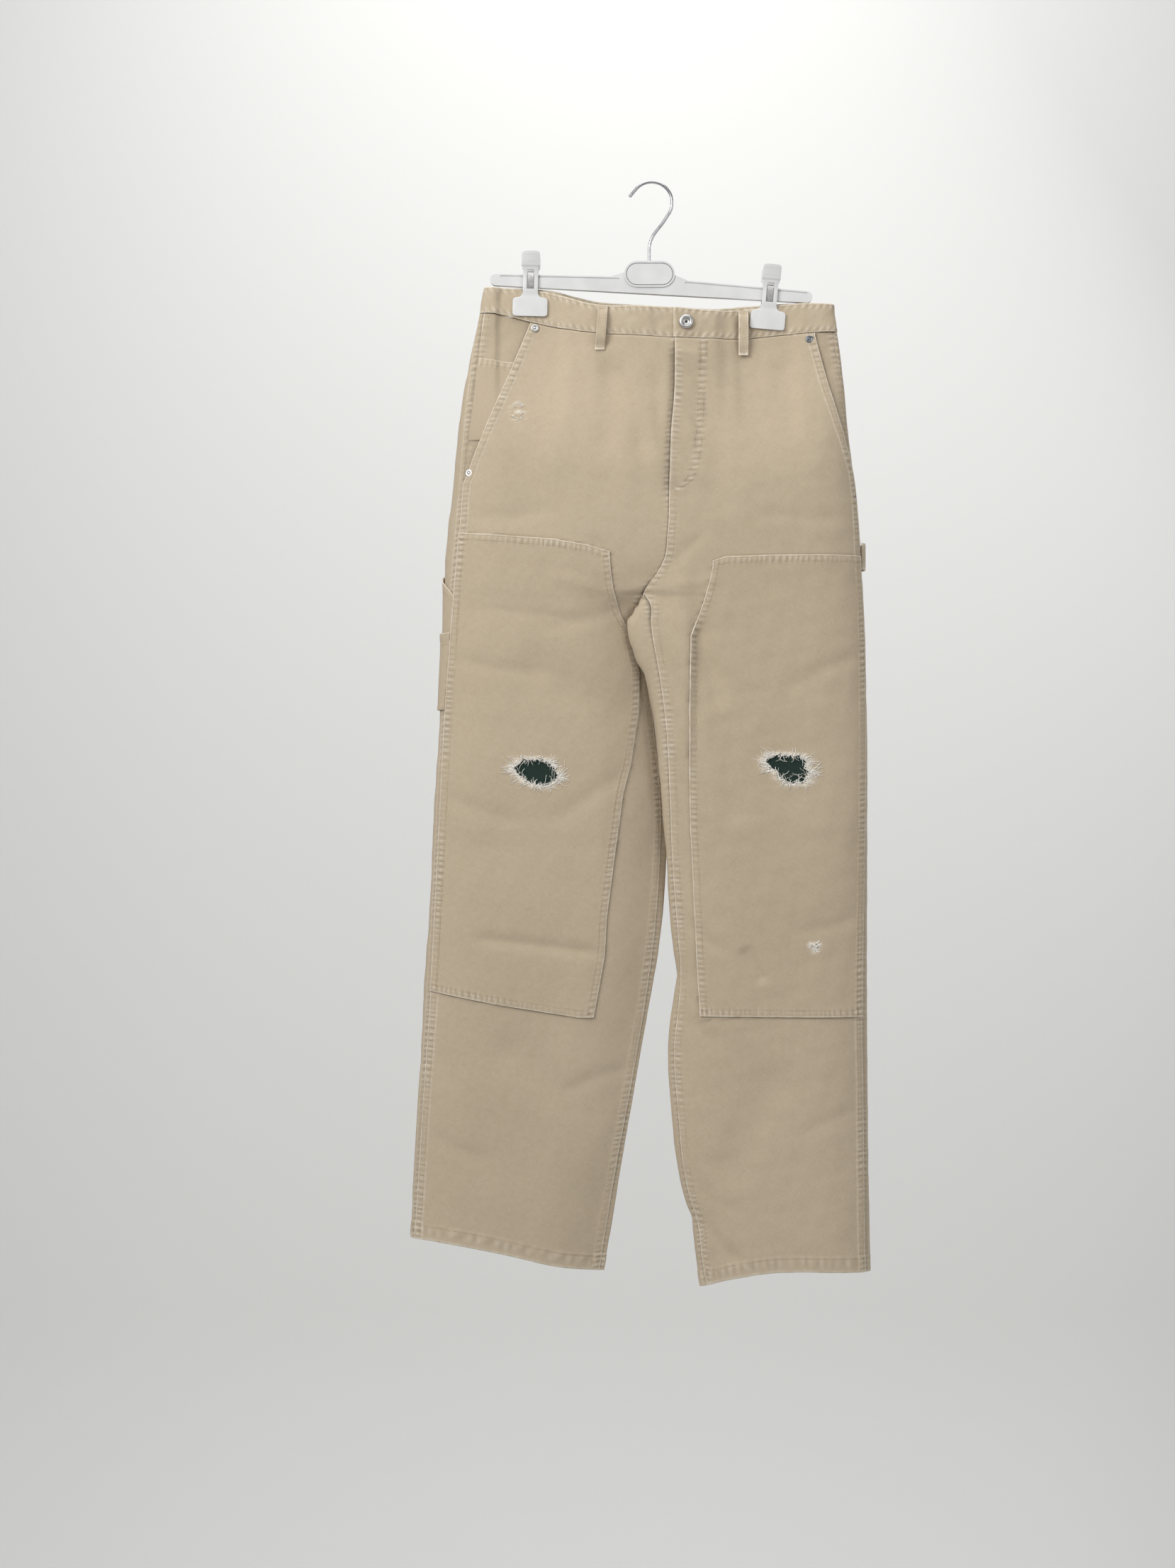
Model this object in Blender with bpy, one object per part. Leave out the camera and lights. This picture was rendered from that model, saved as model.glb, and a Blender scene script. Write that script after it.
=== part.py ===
"""Carpenter trousers hung by the waistband on a clip hanger.

Units are millimetres in the tables and metres in the meshes. X runs to the wearer's left, the
front faces -Y and Z is up. The origin is the inside top of the hanger's hook. Left and right
are the wearer's.
"""

import math

import bmesh
import bpy
import numpy as np
from mathutils import Matrix
from mathutils.bvhtree import BVHTree

MM = 0.001

# Cloth
CLOTH = 1.2                # one layer of washed canvas
BACKING = 1.0              # thin cloth behind the ripped knees
BAND = 2.4                 # waistband, two layers and interlining
BAND_PROUD = 0.6           # the waistband's face stands this far out of the panels
STRAP = 2.0                # belt loops and hammer loop, a folded strip
HEM_DEPTH = 18.0
HEM_CLOTH = 2.4            # the hem is turned up
GAP = 0.3                  # between neighbours at a seam
CROTCH_GAP = 1.4           # where four panels meet

# Heights and reaches of the trousers' form
CROTCH = -486.7
PANEL_ROWS = (15, 29)      # rows of points above and below the crotch
FRONT_COLUMNS = 9
BACK_COLUMNS = 14
FOLD_CELLS = 2             # of a back panel's columns, round each fold to its seam
OPENING_DROP = 170.0       # the flat waist has opened to its full depth this far below the band
FORK_REACH = {"front": 70.0, "back": 120.0}
INNER_REACH = 85.0
LEAN_REACH = 85.0
TOUCHING_POWER = 1.7       # legs lie against each other with a lens-shaped edge
ROUND_POWER = 2.0
BACK_HEM_DROP = 3.5
FLY_LIFT = 2.0
FLY_WIDTH = 40.0
FLY_TOP, FLY_BOTTOM = -187.0, -368.0

SIGN = {"front": -1.0, "back": 1.0}
OUTWARD = {"right": -1.0, "left": 1.0}

# height, across: the outer fold of each leg, seen from the front
OUTER = {
    "right": ((-1300, -287), (-1205, -283.3), (-1122, -279), (-1038, -273.5), (-955, -269.5),
              (-872, -263.5), (-788, -259.5), (-700, -254.5), (-620, -250), (-505, -245),
              (-438, -242.5), (-355, -235), (-288, -227.5), (-222, -217.5), (-155, -203.5),
              (-115, -196)),
    "left": ((-1310, 259.5), (-1205, 257.5), (-1122, 256), (-955, 255), (-705, 255),
             (-538, 252.5), (-455, 248), (-405, 245.5), (-372, 242.5), (-338, 238),
             (-305, 233.5), (-238, 227.5), (-205, 223.5), (-164, 217.5), (-115, 213)),
}
# height, across: the side seams, a little in front of the outer folds
SIDE_SEAM = {
    "right": ((-1300, -282), (-1242, -279), (-1074, -268.5), (-952, -260), (-768, -250),
              (-623, -242.5), (-490, -232.5), (-416, -226), (-351, -221), (-255, -212),
              (-155, -198.5), (-115, -191)),
    "left": ((-1310, 251.5), (-1253, 251), (-1074, 248.7), (-983, 247.2), (-792, 249.3),
             (-622, 250), (-538, 249.5), (-455, 245), (-372, 240), (-305, 231),
             (-238, 225), (-164, 215), (-115, 210.5)),
}
# height, across: the inner folds of the legs
INNER = {
    "right": ((-1300, -60), (-1205, -43.3), (-1122, -29.2), (-1038, -15), (-955, 0),
              (-905, 8.5), (-838, 15.8), (-788, 18), (-747, 17.5), (-705, 13.3), (-622, 5),
              (-563, -2), (-522, -9), (-505, -11), (-494, -11.5), (-486.7, -10)),
    "left": ((-1310, 56.5), (-1272, 52.5), (-1238, 48.5), (-1222, 47.5), (-1205, 40.5),
             (-1172, 32.5), (-1122, 25), (-1088, 21.7), (-1038, 19), (-988, 21), (-955, 26.5),
             (-938, 29.5), (-905, 25), (-872, 21.5), (-788, 16.7), (-705, 8.3), (-622, -0.8),
             (-588, -8.5), (-563, -20), (-538, -30), (-522, -31), (-509, -24), (-497, -16),
             (-486.7, -10)),
}
# height, across: the inseams
INSEAM = {
    "right": ((-1300, -64.5), (-1240, -55), (-1150, -40), (-1037, -19), (-857, 6), (-747, 11),
              (-622, 0), (-538, -11), (-509, -14), (-494, -13.5), (-486.7, -10)),
    "left": ((-1310, 67), (-1280, 61), (-1220, 52.5), (-1197, 45), (-1170, 39), (-1100, 31.5),
             (-1011, 27), (-988, 29.5), (-928, 34.2), (-891, 31), (-792, 23.5), (-719, 20.8),
             (-646, 16.7), (-581, 8.3), (-549, 2.5), (-523, -1.5), (-497, -3), (-486.7, -10)),
}
# height, across: the fly edge and the curved crotch seam under it
CENTRE = ((-486.7, -10), (-480, -6.5), (-463, 6), (-449, 13.5), (-419, 17.5), (-348, 20),
          (-290, 22.5), (-257, 25.5), (-187, 26.7), (-115, 27))
# height, depth of the inner fold: behind the middle plane on the right leg, before it on the left
LEAN = {
    "right": ((-1310, 0), (-930, 0), (-860, 3), (-800, 8), (-700, 9), (-560, 11), (-538, 11),
              (-522, 8), (-509, 0), (-497, -9), (-486.7, -16), (-460, -8), (-400, 0), (-115, 0)),
    "left": ((-1310, 0), (-1000, 0), (-900, -2), (-800, -8), (-700, -12), (-620, -14),
             (-560, -16), (-486.7, -16), (-460, -8), (-400, 0), (-115, 0)),
}
# height, half depth in front of and behind the middle plane, reach of the outer rounding
DEPTH = ((-1310, 22, 22, 62), (-1150, 24, 24, 68), (-1000, 26, 26, 72), (-800, 28, 28, 74),
         (-600, 30, 32, 74), (-487, 31, 40, 70), (-430, 33, 44, 66), (-350, 34, 42, 60),
         (-260, 30, 34, 44), (-190, 20, 22, 26), (-155, 14, 14, 18), (-115, 10, 10, 16))
# across, half depth of the waist in front and behind: pinched flat where the clips grip
WAIST = ((-210, 7, 7), (-186, 7, 7), (-177, 1.95, 1.95), (-112, 1.95, 1.95), (-95, 7, 8),
         (-60, 13, 12), (-20, 17, 13), (27, 18, 14), (70, 15, 13), (92, 7, 8),
         (107, 1.95, 1.95), (162, 1.95, 1.95), (180, 7, 8), (220, 8, 9))
# across, height in front, height behind: the waistband's top edge and its lower seam
BAND_TOP = ((-205, -123, -123), (-197, -123.3, -123.3), (-124, -129, -126), (-62, -146, -137.5),
            (-17, -147.5, -140.8), (28, -149.5, -143), (82, -152.5, -146), (117, -149, -145),
            (157, -143.5, -142), (220, -143.3, -143.3))
BAND_SEAM = ((-205, -154, -154), (-181, -155.5, -156), (-141, -165, -161), (-105, -172.5, -166),
             (-65, -179, -171), (-17, -182.5, -174.5), (24, -185, -177), (104, -185, -179.5),
             (157, -180, -178), (222, -175.8, -175.8))
# across, height: the hems
HEM = {
    "right": ((-290, -1244.5), (-264, -1246), (-218, -1253), (-156, -1266), (-108, -1277.5),
              (-77, -1282), (-50, -1285)),
    "left": ((50, -1305), (66, -1300), (81, -1295), (102, -1290), (129, -1285), (169, -1282.5),
             (208, -1283), (265, -1284.5)),
}
# The largest folds: half, face, start (across, height), end (across, height), half width, rise
FOLDS = (
    ("right", "front", (-53, -213), (-6, -326), 16, -3.5),
    ("right", "front", (-150, -560), (-30, -640), 30, -3.0),
    ("right", "front", (-226, -500), (-88, -516), 9, -2.0),
    ("right", "front", (-208, -890), (-60, -908), 10, -2.5),
    ("right", "front", (-180, -1010), (-60, -1110), 32, -3.0),
    ("left", "front", (34, -455), (33, -690), 17, 5.0),
    ("left", "front", (56, -520), (78, -620), 15, -5.0),
    ("left", "front", (78, -620), (96, -760), 22, -3.0),
    ("left", "front", (107, -902), (130, -942), 10, -3.0),
    ("left", "front", (150, -1040), (80, -1180), 34, -3.0),
    ("left", "front", (56, -1222), (100, -1272), 9, -3.0),
    ("left", "back", (-14, -500), (-7, -585), 8, 3.5),
    ("right", "back", (-60, -420), (-120, -520), 26, -4.0),
    ("left", "back", (70, -420), (130, -520), 26, -4.0),
    ("right", "back", (-180, -690), (-70, -730), 22, -4.0),
    ("left", "back", (70, -740), (180, -700), 24, -4.0),
    ("right", "back", (-210, -980), (-90, -1090), 30, -3.0),
    ("left", "back", (190, -1010), (90, -1120), 30, -3.0),
)

# Pieces that lie on or under the panels: outlines as (across, height)
POCKET_SLANT = {
    "right": ((-143.3, -150), (-143.3, -165), (-210.8, -331), (-217, -349), (-228, -372)),
    "left": ((192.5, -160), (192.5, -181), (205.8, -234), (225.8, -302), (237.5, -347.5),
             (252, -376)),
}
FACING_UNDERLAP = 16.0
COIN_POCKET = ((-230, -205), (-206.7, -207.5), (-168.5, -213), (-207.5, -309), (-230, -309))
KNEE_TOP = {"right": ((-290, -411), (-226, -415.8), (-115, -424), (-75, -431), (-50, -438.5)),
            "left": ((290, -440), (243, -441.7), (137, -442.5), (86, -444.2), (70, -449.2))}
KNEE_INNER = {"right": ((-49, -457), (-45.8, -482), (-37, -512), (-26, -533), (-15.5, -580),
                        (-16, -625), (-25.8, -687), (-35, -724), (-53.3, -866), (-56, -912),
                        (-69.2, -985)),
              "left": ((70.8, -455), (66.7, -474), (60, -497), (51.7, -519), (43.5, -537),
                       (43.5, -677), (44.5, -756), (49.2, -854), (56.7, -987))}
KNEE_BOTTOM = {"right": ((-87.5, -983.3), (-177.5, -969), (-260, -953), (-290, -948)),
               "left": ((109, -982.5), (194, -983.3), (290, -983.3))}
KNEE_LIFT = 1.3            # the patch stands out over the backing by this much more
RIP = {
    "right": ((-151.7, -681.5), (-136, -680.5), (-120.8, -683), (-113.3, -690.8),
              (-109.2, -702.5), (-121.7, -712.5), (-137.5, -711.7), (-149.2, -706.7),
              (-159.2, -697.5), (-164.2, -690)),
    "left": ((135.8, -675.8), (155, -675.5), (173.3, -677.5), (181.7, -683.3), (178.3, -691.7),
             (186.7, -697.5), (180, -702.5), (181.7, -708.3), (158.3, -710), (148, -703),
             (145.8, -696.7), (135, -691.7), (130.8, -682.5)),
}
RIP_MIDDLE = {"right": (-137, -696), "left": (158, -692)}
BACKING_HALF = (46.0, 34.0)
TOOL_POCKET = {
    "front": ((-268, -440), (-244.5, -471), (-226, -498), (-226, -623), (-268, -623)),
    "back": ((-268, -462), (-244.5, -466), (-150, -452), (-150, -623), (-268, -623)),
}
SMALL_POCKET = {
    "front": ((-268, -532.5), (-244.5, -532.5), (-226, -531.5), (-226, -623), (-268, -623)),
    "back": ((-268, -532.5), (-244.5, -532.5), (-200, -532.5), (-200, -623), (-268, -623)),
}

# Belt loops: face, across at the top, across at the bottom
BELT_LOOPS = {
    "belt_loop_front_right": ("front", -57.5, -61.5),
    "belt_loop_front_left": ("front", 108.0, 108.0),
    "belt_loop_back_right": ("back", -96.0, -97.0),
    "belt_loop_centre_back": ("back", 12.0, 12.0),
    "belt_loop_back_left": ("back", 88.0, 88.0),
}
LOOP_WIDTH = 11.5
LOOP_BELOW_SEAM = 20.0
LOOP_STAND = 5.0

HAMMER_HEIGHT = (-425.5, -457.0)
HAMMER_STAND = 10.0

# Metal
BUTTON_PLACE = (40.0, -167.1)
BUTTON_DIAMETER = 17.0
RIVET_DIAMETER = 9.6
RIVETS = {
    "rivet_top_right": ("right", -137.9, -171.5),
    "rivet_side_right": ("right", -214.5, -346.0),
    "rivet_top_left": ("left", 186.0, -185.5),
    "rivet_side_left": ("left", 237.0, -371.5),
}

# Hanger
BAR_HEIGHT = 13.5
BAR_DEPTH = 7.0
BAR_MIDDLE = (-2.5, -118.5)
BAR_ARMS = {"right": (-190.8, math.radians(1.3)), "left": (190.0, math.radians(5.0))}
MEDALLION = (-2.5, -107.9, 30.0, 15.4, 9.5)      # across, height, half width, half height, depth
HOOK_WIRE = 3.6
HOOK_RADIUS = 24.3
HOOK_TIP = 11.5
CLIP_ACROSS = {"right": -143.0, "left": 139.6}
CLIP_PLASTIC = 2.6
# height from the bar, half width, inner face's distance from the middle plane
CLIP_SECTIONS = ((-42.5, 19.0, 2.9), (-41.0, 20.5, 2.9), (-22.5, 20.5, 2.9), (-20.5, 18.5, 2.9),
                 (-17.5, 10.0, 3.0), (-13.0, 8.8, 3.9), (9.0, 8.8, 4.4), (18.0, 10.8, 6.2),
                 (31.5, 10.8, 9.0), (33.0, 9.6, 9.3))
CLIP_WINDOW = (8.4, -10.5, 12.0)                 # width, lowest, highest from the bar

COLOURS = {                # name: (linear colour, roughness, metallic)
    "canvas": ((0.46, 0.36, 0.23, 1), 0.9, 0.0),
    "backing": ((0.008, 0.022, 0.017, 1), 0.95, 0.0),
    "steel": ((0.62, 0.62, 0.6, 1), 0.3, 1.0),
    "gunmetal": ((0.2, 0.21, 0.21, 1), 0.45, 1.0),
    "plastic": ((0.68, 0.69, 0.71, 1), 0.4, 0.0),
}


def clear_scene():
    for thing in list(bpy.data.objects):
        bpy.data.objects.remove(thing)


def material(name):
    if name in bpy.data.materials:
        return bpy.data.materials[name]
    colour, roughness, metallic = COLOURS[name]
    made = bpy.data.materials.new(name)
    made.use_nodes = True
    shader = made.node_tree.nodes["Principled BSDF"]
    shader.inputs["Base Color"].default_value = colour
    shader.inputs["Roughness"].default_value = roughness
    shader.inputs["Metallic"].default_value = metallic
    return made


def curve(table, at, column=1):
    """A smooth curve through a table's rows, read at any place along its first column."""
    rows = np.array(table, float)
    rows = rows[np.argsort(rows[:, 0])]
    places, values = rows[:, 0], rows[:, column]
    slopes = np.gradient(values, places)
    at = np.clip(at, places[0], places[-1])
    i = np.clip(np.searchsorted(places, at) - 1, 0, len(places) - 2)
    span = places[i + 1] - places[i]
    t = (at - places[i]) / span
    return ((2 * t**3 - 3 * t**2 + 1) * values[i] + (t**3 - 2 * t**2 + t) * span * slopes[i]
            + (3 * t**2 - 2 * t**3) * values[i + 1] + (t**3 - t**2) * span * slopes[i + 1])


def ease(t):
    t = np.clip(t, 0, 1)
    return t * t * (3 - 2 * t)


def eased(table, at, column=1):
    """Like curve, but level at every row, so that flats stay flat."""
    rows = np.array(table, float)
    places, values = rows[:, 0], rows[:, column]
    at = np.clip(at, places[0], places[-1])
    i = np.clip(np.searchsorted(places, at) - 1, 0, len(places) - 2)
    t = ease((at - places[i]) / (places[i + 1] - places[i]))
    return values[i] * (1 - t) + values[i + 1] * t


def swell(a, power):
    """Rise of a rounded edge from 0 to 1: a quarter round at power 2, a lens edge below it."""
    a = np.clip(a, 0, 1)
    if power == ROUND_POWER:
        return np.sqrt(1 - (1 - a)**2)
    return 1 - (1 - a)**power


def face_column(face):
    return 1 if face == "front" else 2


def seam_height(face, x):
    return curve(BAND_SEAM, x, face_column(face))


def inner_line(half, z):
    """The centre line above the crotch and the leg's inner fold below it."""
    return np.where(z > CROTCH, curve(CENTRE, z), curve(INNER[half], z))


def fold_rise(half, face, x, z):
    """Troughs and ridges of the largest folds, outwards."""
    rise = np.zeros_like(x)
    for fold_half, fold_face, start, end, reach, height in FOLDS:
        if (fold_half, fold_face) != (half, face):
            continue
        run = np.array(end, float) - np.array(start, float)
        length = np.hypot(*run)
        along = ((x - start[0]) * run[0] + (z - start[1]) * run[1]) / length**2
        off = ((x - start[0]) * run[1] - (z - start[1]) * run[0]) / length
        ends = ease(along / 0.25 + 0.4) * ease((1 - along) / 0.25 + 0.4)
        rise += height * ends * np.exp(-(off / reach)**2 * 1.6)
    return rise


def cloth_depth(half, face, x, z, fly=True):
    """Y of the cloth's outer face at a place across and a height."""
    x, z = np.broadcast_arrays(np.asarray(x, float), np.asarray(z, float))
    sign = SIGN[face]
    inner = inner_line(half, z)
    lean = curve(LEAN[half], z) * (1 - ease(np.abs(x - inner) / LEAN_REACH))
    opened = ease((seam_height(face, x) - z) / OPENING_DROP)
    deep = (eased(WAIST, x, face_column(face)) * (1 - opened)
            + curve(DEPTH, z, face_column(face)) * opened)
    touching = (half, face) in (("right", "front"), ("left", "back"))
    bulge_in = swell(np.abs(x - inner) / INNER_REACH, TOUCHING_POWER if touching else ROUND_POWER)
    fork = np.where(z > CROTCH, swell((z - CROTCH) / FORK_REACH[face], ROUND_POWER), 0)
    outer = curve(OUTER[half], z)
    bulge_out = swell(np.abs(x - outer) / curve(DEPTH, z, 3), ROUND_POWER)
    share = bulge_out * (fork + (1 - fork) * bulge_in)
    y = lean + sign * (deep - sign * lean) * share + sign * share * fold_rise(half, face, x, z)
    if fly and (half, face) == ("left", "front"):
        down = ease((FLY_TOP - z) / 18) * ease((z - FLY_BOTTOM) / 18)
        y = y - FLY_LIFT * down * (1 - ease((x - inner) / FLY_WIDTH))
    return y


def row_height(half, face, x, level):
    """Height of a row of points: level 0 to 1 from the band to the crotch, 1 to 2 to the hem."""
    if level <= 1:
        top = seam_height(face, x) - GAP - 0.2
        return top + (CROTCH - top) * level
    hem = curve(HEM[half], x)
    if face == "back":
        ends = [curve(line[half], -1270.0) for line in (INNER, OUTER)]
        middle, reach = sum(ends) / 2, abs(ends[1] - ends[0]) / 2
        hem = hem - BACK_HEM_DROP * np.clip(1 - ((x - middle) / reach)**2, 0, 1)
    return CROTCH + (hem - CROTCH) * (level - 1)


def settle(half, face, line, level):
    """Where a line that is given by height crosses a row."""
    x = np.asarray(line(CROTCH), float)
    for _ in range(8):
        x = line(row_height(half, face, x, level))
    return float(x)


def stretch(half, face, start, end, level, count):
    """Points of a row between two places across, closest together at both ends."""
    turn = np.linspace(0, math.pi, count)
    x = start + (end - start) * (1 - np.cos(turn)) / 2
    z = row_height(half, face, x, level)
    return np.stack([x, cloth_depth(half, face, x, z), z], axis=1)


def spread(points, count, crowd=0.5):
    """count points along a polyline, evenly or crowded to its ends."""
    steps = np.linalg.norm(np.diff(points, axis=0), axis=1)
    along = np.concatenate([[0], np.cumsum(steps)])
    even = np.linspace(0, 1, count)
    wanted = along[-1] * ((1 - crowd) * even + crowd * (1 - np.cos(math.pi * even)) / 2)
    return np.stack([np.interp(wanted, along, points[:, k]) for k in range(3)], axis=1)


def half_row(half, level):
    """One row of a half: front panel from its centre edge to the side seam, then the back panel
    round the outer fold, across, and round the inner fold to the inseam."""
    below = level > 1
    inner = settle(half, "front", lambda z: inner_line(half, z), level)
    outer = settle(half, "front", lambda z: curve(OUTER[half], z), level)
    side = settle(half, "front", lambda z: curve(SIDE_SEAM[half], z), level)
    edge = settle(half, "front", lambda z: curve(INSEAM[half], z), level) if below else inner
    front = spread(stretch(half, "front", edge, side, level, 80), FRONT_COLUMNS)
    runs = [(stretch(half, "front", side, outer, level, 24), FOLD_CELLS)]
    across = stretch(half, "back", outer, inner, level, 120)
    if below:
        runs.append((across, BACK_COLUMNS - 1 - 2 * FOLD_CELLS))
        runs.append((stretch(half, "front", inner, edge, level, 24), FOLD_CELLS))
    else:
        runs.append((across, BACK_COLUMNS - 1 - FOLD_CELLS))
    pieces = [spread(points, cells + 1, crowd=0.8 if points is across else 0.0)[1:]
              for points, cells in runs]
    return front, np.concatenate([runs[0][0][:1]] + pieces)


def levels():
    above, below = PANEL_ROWS
    down = 1 - (1 - np.linspace(0, 1, above))**1.25
    hem_share = HEM_DEPTH / 798.0
    legs = 1 + (1 - hem_share) * np.linspace(0, 1, below)[1:]**1.5
    return list(down) + list(legs) + [2 - hem_share * 0.94, 2.0]


def unit(vectors):
    return vectors / np.linalg.norm(vectors, axis=-1, keepdims=True)


def grid_normals(points, flip):
    across = np.gradient(points, axis=1)
    down = np.gradient(points, axis=0)
    return unit(np.cross(across, down) * flip)


def trouser_panels():
    """Points, outward normals and wall thickness of the four panels, meeting at shared edges."""
    rows = levels()
    split = PANEL_ROWS[0] - 1
    points, normals = {}, {}
    for half in ("right", "left"):
        pairs = [half_row(half, level) for level in rows]
        front = np.array([pair[0] for pair in pairs])
        back = np.array([pair[1] for pair in pairs])
        joined = np.concatenate([front, back[:, 1:]], axis=1)
        points[half] = joined
        normals[half] = grid_normals(joined, -OUTWARD[half])
    for place in (0, -1):
        both = unit(normals["right"][:split, place] + normals["left"][:split, place])
        for half in normals:
            normals[half][:split, place] = both
    fork = sum(normals[half][split, place] for half in normals for place in (0, -1))
    for half in normals:
        ends = unit(normals[half][split + 1:, 0] + normals[half][split + 1:, -1])
        normals[half][split + 1:, 0] = ends
        normals[half][split + 1:, -1] = ends
        normals[half][split, 0] = unit(fork)
        normals[half][split, -1] = unit(fork)
        for edge_row in (0, -1):
            normals[half][edge_row, :, 2] = 0
        normals[half] = unit(normals[half])
    thickness = np.full(len(rows), CLOTH)
    thickness[-2:] = HEM_CLOTH
    panels = {}
    for half in points:
        cut = FRONT_COLUMNS - 1
        for face, part in (("front", slice(0, cut + 1)), ("back", slice(cut, None))):
            grid = points[half][:, part].copy()
            apart = np.full((len(rows), 1), GAP / 2)
            apart[split:split + 3] = CROTCH_GAP / 2
            for edge, neighbour in ((0, 1), (-1, -2)):
                grid[:, edge] += unit(grid[:, neighbour] - grid[:, edge]) * apart
            panels[face, half] = (grid, normals[half][:, part], thickness)
    return panels


def new_object(name, vertices, faces, finish, smooth=35):
    """An object with a mesh of millimetre points, its faces turned outwards."""
    mesh = bpy.data.meshes.new(name)
    mesh.from_pydata([tuple(float(c) * MM for c in v) for v in vertices], [], faces)
    work = bmesh.new()
    work.from_mesh(mesh)
    bmesh.ops.recalc_face_normals(work, faces=work.faces)
    work.to_mesh(mesh)
    work.free()
    made = bpy.data.objects.new(name, mesh)
    bpy.context.scene.collection.objects.link(made)
    if finish:
        mesh.materials.append(material(finish))
        mesh.shade_smooth()
        mesh.set_sharp_from_angle(angle=math.radians(smooth))
    return made


def wall(name, points, normals, inner, outer=0.0, finish="canvas"):
    """A closed wall over a grid of points, from inner to outer millimetres along the normals."""
    rows, columns = points.shape[:2]
    inner = np.broadcast_to(np.reshape(inner, (-1, 1, 1)) if np.ndim(inner) == 1
                            else np.reshape(inner, np.shape(inner) + (1,)), (rows, columns, 1))
    outer = np.broadcast_to(np.reshape(outer, (-1, 1, 1)) if np.ndim(outer) == 1
                            else np.reshape(outer, np.shape(outer) + (1,)), (rows, columns, 1))
    shells = [points + normals * outer, points + normals * inner]
    vertices = np.concatenate([shell.reshape(-1, 3) for shell in shells])
    size = rows * columns

    def index(r, c, shell):
        return shell * size + r * columns + c

    faces = []
    for r in range(rows - 1):
        for c in range(columns - 1):
            for shell in (0, 1):
                loop = [index(r, c, shell), index(r, c + 1, shell), index(r + 1, c + 1, shell),
                        index(r + 1, c, shell)]
                halves = [loop[:3], [loop[0], loop[2], loop[3]]]
                faces += halves if shell == 0 else [face[::-1] for face in halves]
    rim = ([(0, c) for c in range(columns)] + [(r, columns - 1) for r in range(1, rows)]
           + [(rows - 1, c) for c in range(columns - 2, -1, -1)]
           + [(r, 0) for r in range(rows - 2, 0, -1)])
    for (r0, c0), (r1, c1) in zip(rim, rim[1:] + rim[:1]):
        a, b = index(r0, c0, 0), index(r1, c1, 0)
        faces += [[b, a, a + size], [b, a + size, b + size]]
    return new_object(name, vertices, faces, finish)


def prism(name, front_outline, back_outline=None, front_y=-90.0, back_y=90.0):
    """A cutter that runs through the part from front to back."""
    back_outline = back_outline or front_outline
    count = len(front_outline)
    vertices = ([(x, front_y, z) for x, z in front_outline]
                + [(x, back_y, z) for x, z in back_outline])
    faces = [list(range(count)), list(range(2 * count - 1, count - 1, -1))]
    faces += [[i, (i + 1) % count, (i + 1) % count + count, i + count] for i in range(count)]
    cutter = new_object(name, vertices, faces, None)
    cutter.hide_render = True
    cutter.display_type = "WIRE"
    return cutter


def cut(piece, cutter, operation):
    step = piece.modifiers.new(cutter.name, "BOOLEAN")
    step.operation = operation
    step.solver = "EXACT"
    step.object = cutter


def clipped(grid, low, high):
    """The rows of a panel between two heights, with one row to spare."""
    points, normals, _ = grid
    heights = points[:, :, 2]
    inside = [r for r in range(len(points))
              if heights[r].max() > low and heights[r].min() < high]
    part = slice(max(inside[0] - 1, 0), inside[-1] + 2)
    return points[part], normals[part]


def overlay(name, grid, outline, inner, outer, finish="canvas", back_outline=None):
    """A piece that follows a panel's own points at a distance, cut to its outline."""
    everywhere = list(outline) + list(back_outline or ())
    low, high = (pick(z for _, z in everywhere) for pick in (min, max))
    points, normals = clipped(grid, low, high)
    if callable(inner):
        inner, outer = inner(points), outer(points)
    piece = wall(name, points, normals, inner, outer, finish)
    cut(piece, prism(name + "_outline", outline, back_outline), "INTERSECT")
    return piece


def build_panels(panels):
    for (face, half), (points, normals, thickness) in panels.items():
        panel = wall(f"{face}_{half}", points, normals, -thickness)
        if face == "front":
            slant = list(POCKET_SLANT[half])
            away = OUTWARD[half] * 300.0
            outline = slant + [(away, slant[-1][1]), (away, slant[0][1])]
            cut(panel, prism(f"pocket_mouth_{half}", outline), "DIFFERENCE")


def build_pockets(panels):
    for half in ("right", "left"):
        away = OUTWARD[half] * 300.0
        inward = -OUTWARD[half] * FACING_UNDERLAP
        slant = [(x + inward, z) for x, z in POCKET_SLANT[half]]
        outline = slant + [(away, slant[-1][1]), (away, slant[0][1])]
        overlay(f"pocket_facing_{half}", panels["front", half], outline,
                -2 * CLOTH - GAP, -CLOTH - GAP)
    overlay("coin_pocket", panels["front", "right"], COIN_POCKET, -CLOTH, -0.1)


def knee_outline(half):
    return list(KNEE_TOP[half]) + list(KNEE_INNER[half]) + list(KNEE_BOTTOM[half])


def backing_rise(half):
    """How far the knee patch stands off the panel: more over the cloth behind the rip."""
    across, height = RIP_MIDDLE[half]

    def rise(points):
        off_x = np.abs(points[:, :, 0] - across) - BACKING_HALF[0] - 30
        off_z = np.abs(points[:, :, 2] - height) - BACKING_HALF[1] - 30
        return KNEE_LIFT * (1 - ease(off_x / 25)) * (1 - ease(off_z / 30))

    return rise


def build_knees(panels):
    for half in ("right", "left"):
        panel = panels["front", half]
        rise = backing_rise(half)
        patch = overlay(f"knee_patch_{half}", panel, knee_outline(half),
                        lambda p, rise=rise: GAP + rise(p),
                        lambda p, rise=rise: GAP + CLOTH + rise(p))
        cut(patch, prism(f"rip_{half}", RIP[half], front_y=-90, back_y=0), "DIFFERENCE")
        across, height = RIP_MIDDLE[half]
        wide, tall = BACKING_HALF
        outline = [(across - wide, height - tall), (across + wide, height - tall),
                   (across + wide, height + tall), (across - wide, height + tall)]
        overlay(f"knee_backing_{half}", panel, outline, GAP, GAP + BACKING, "backing")


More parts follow.
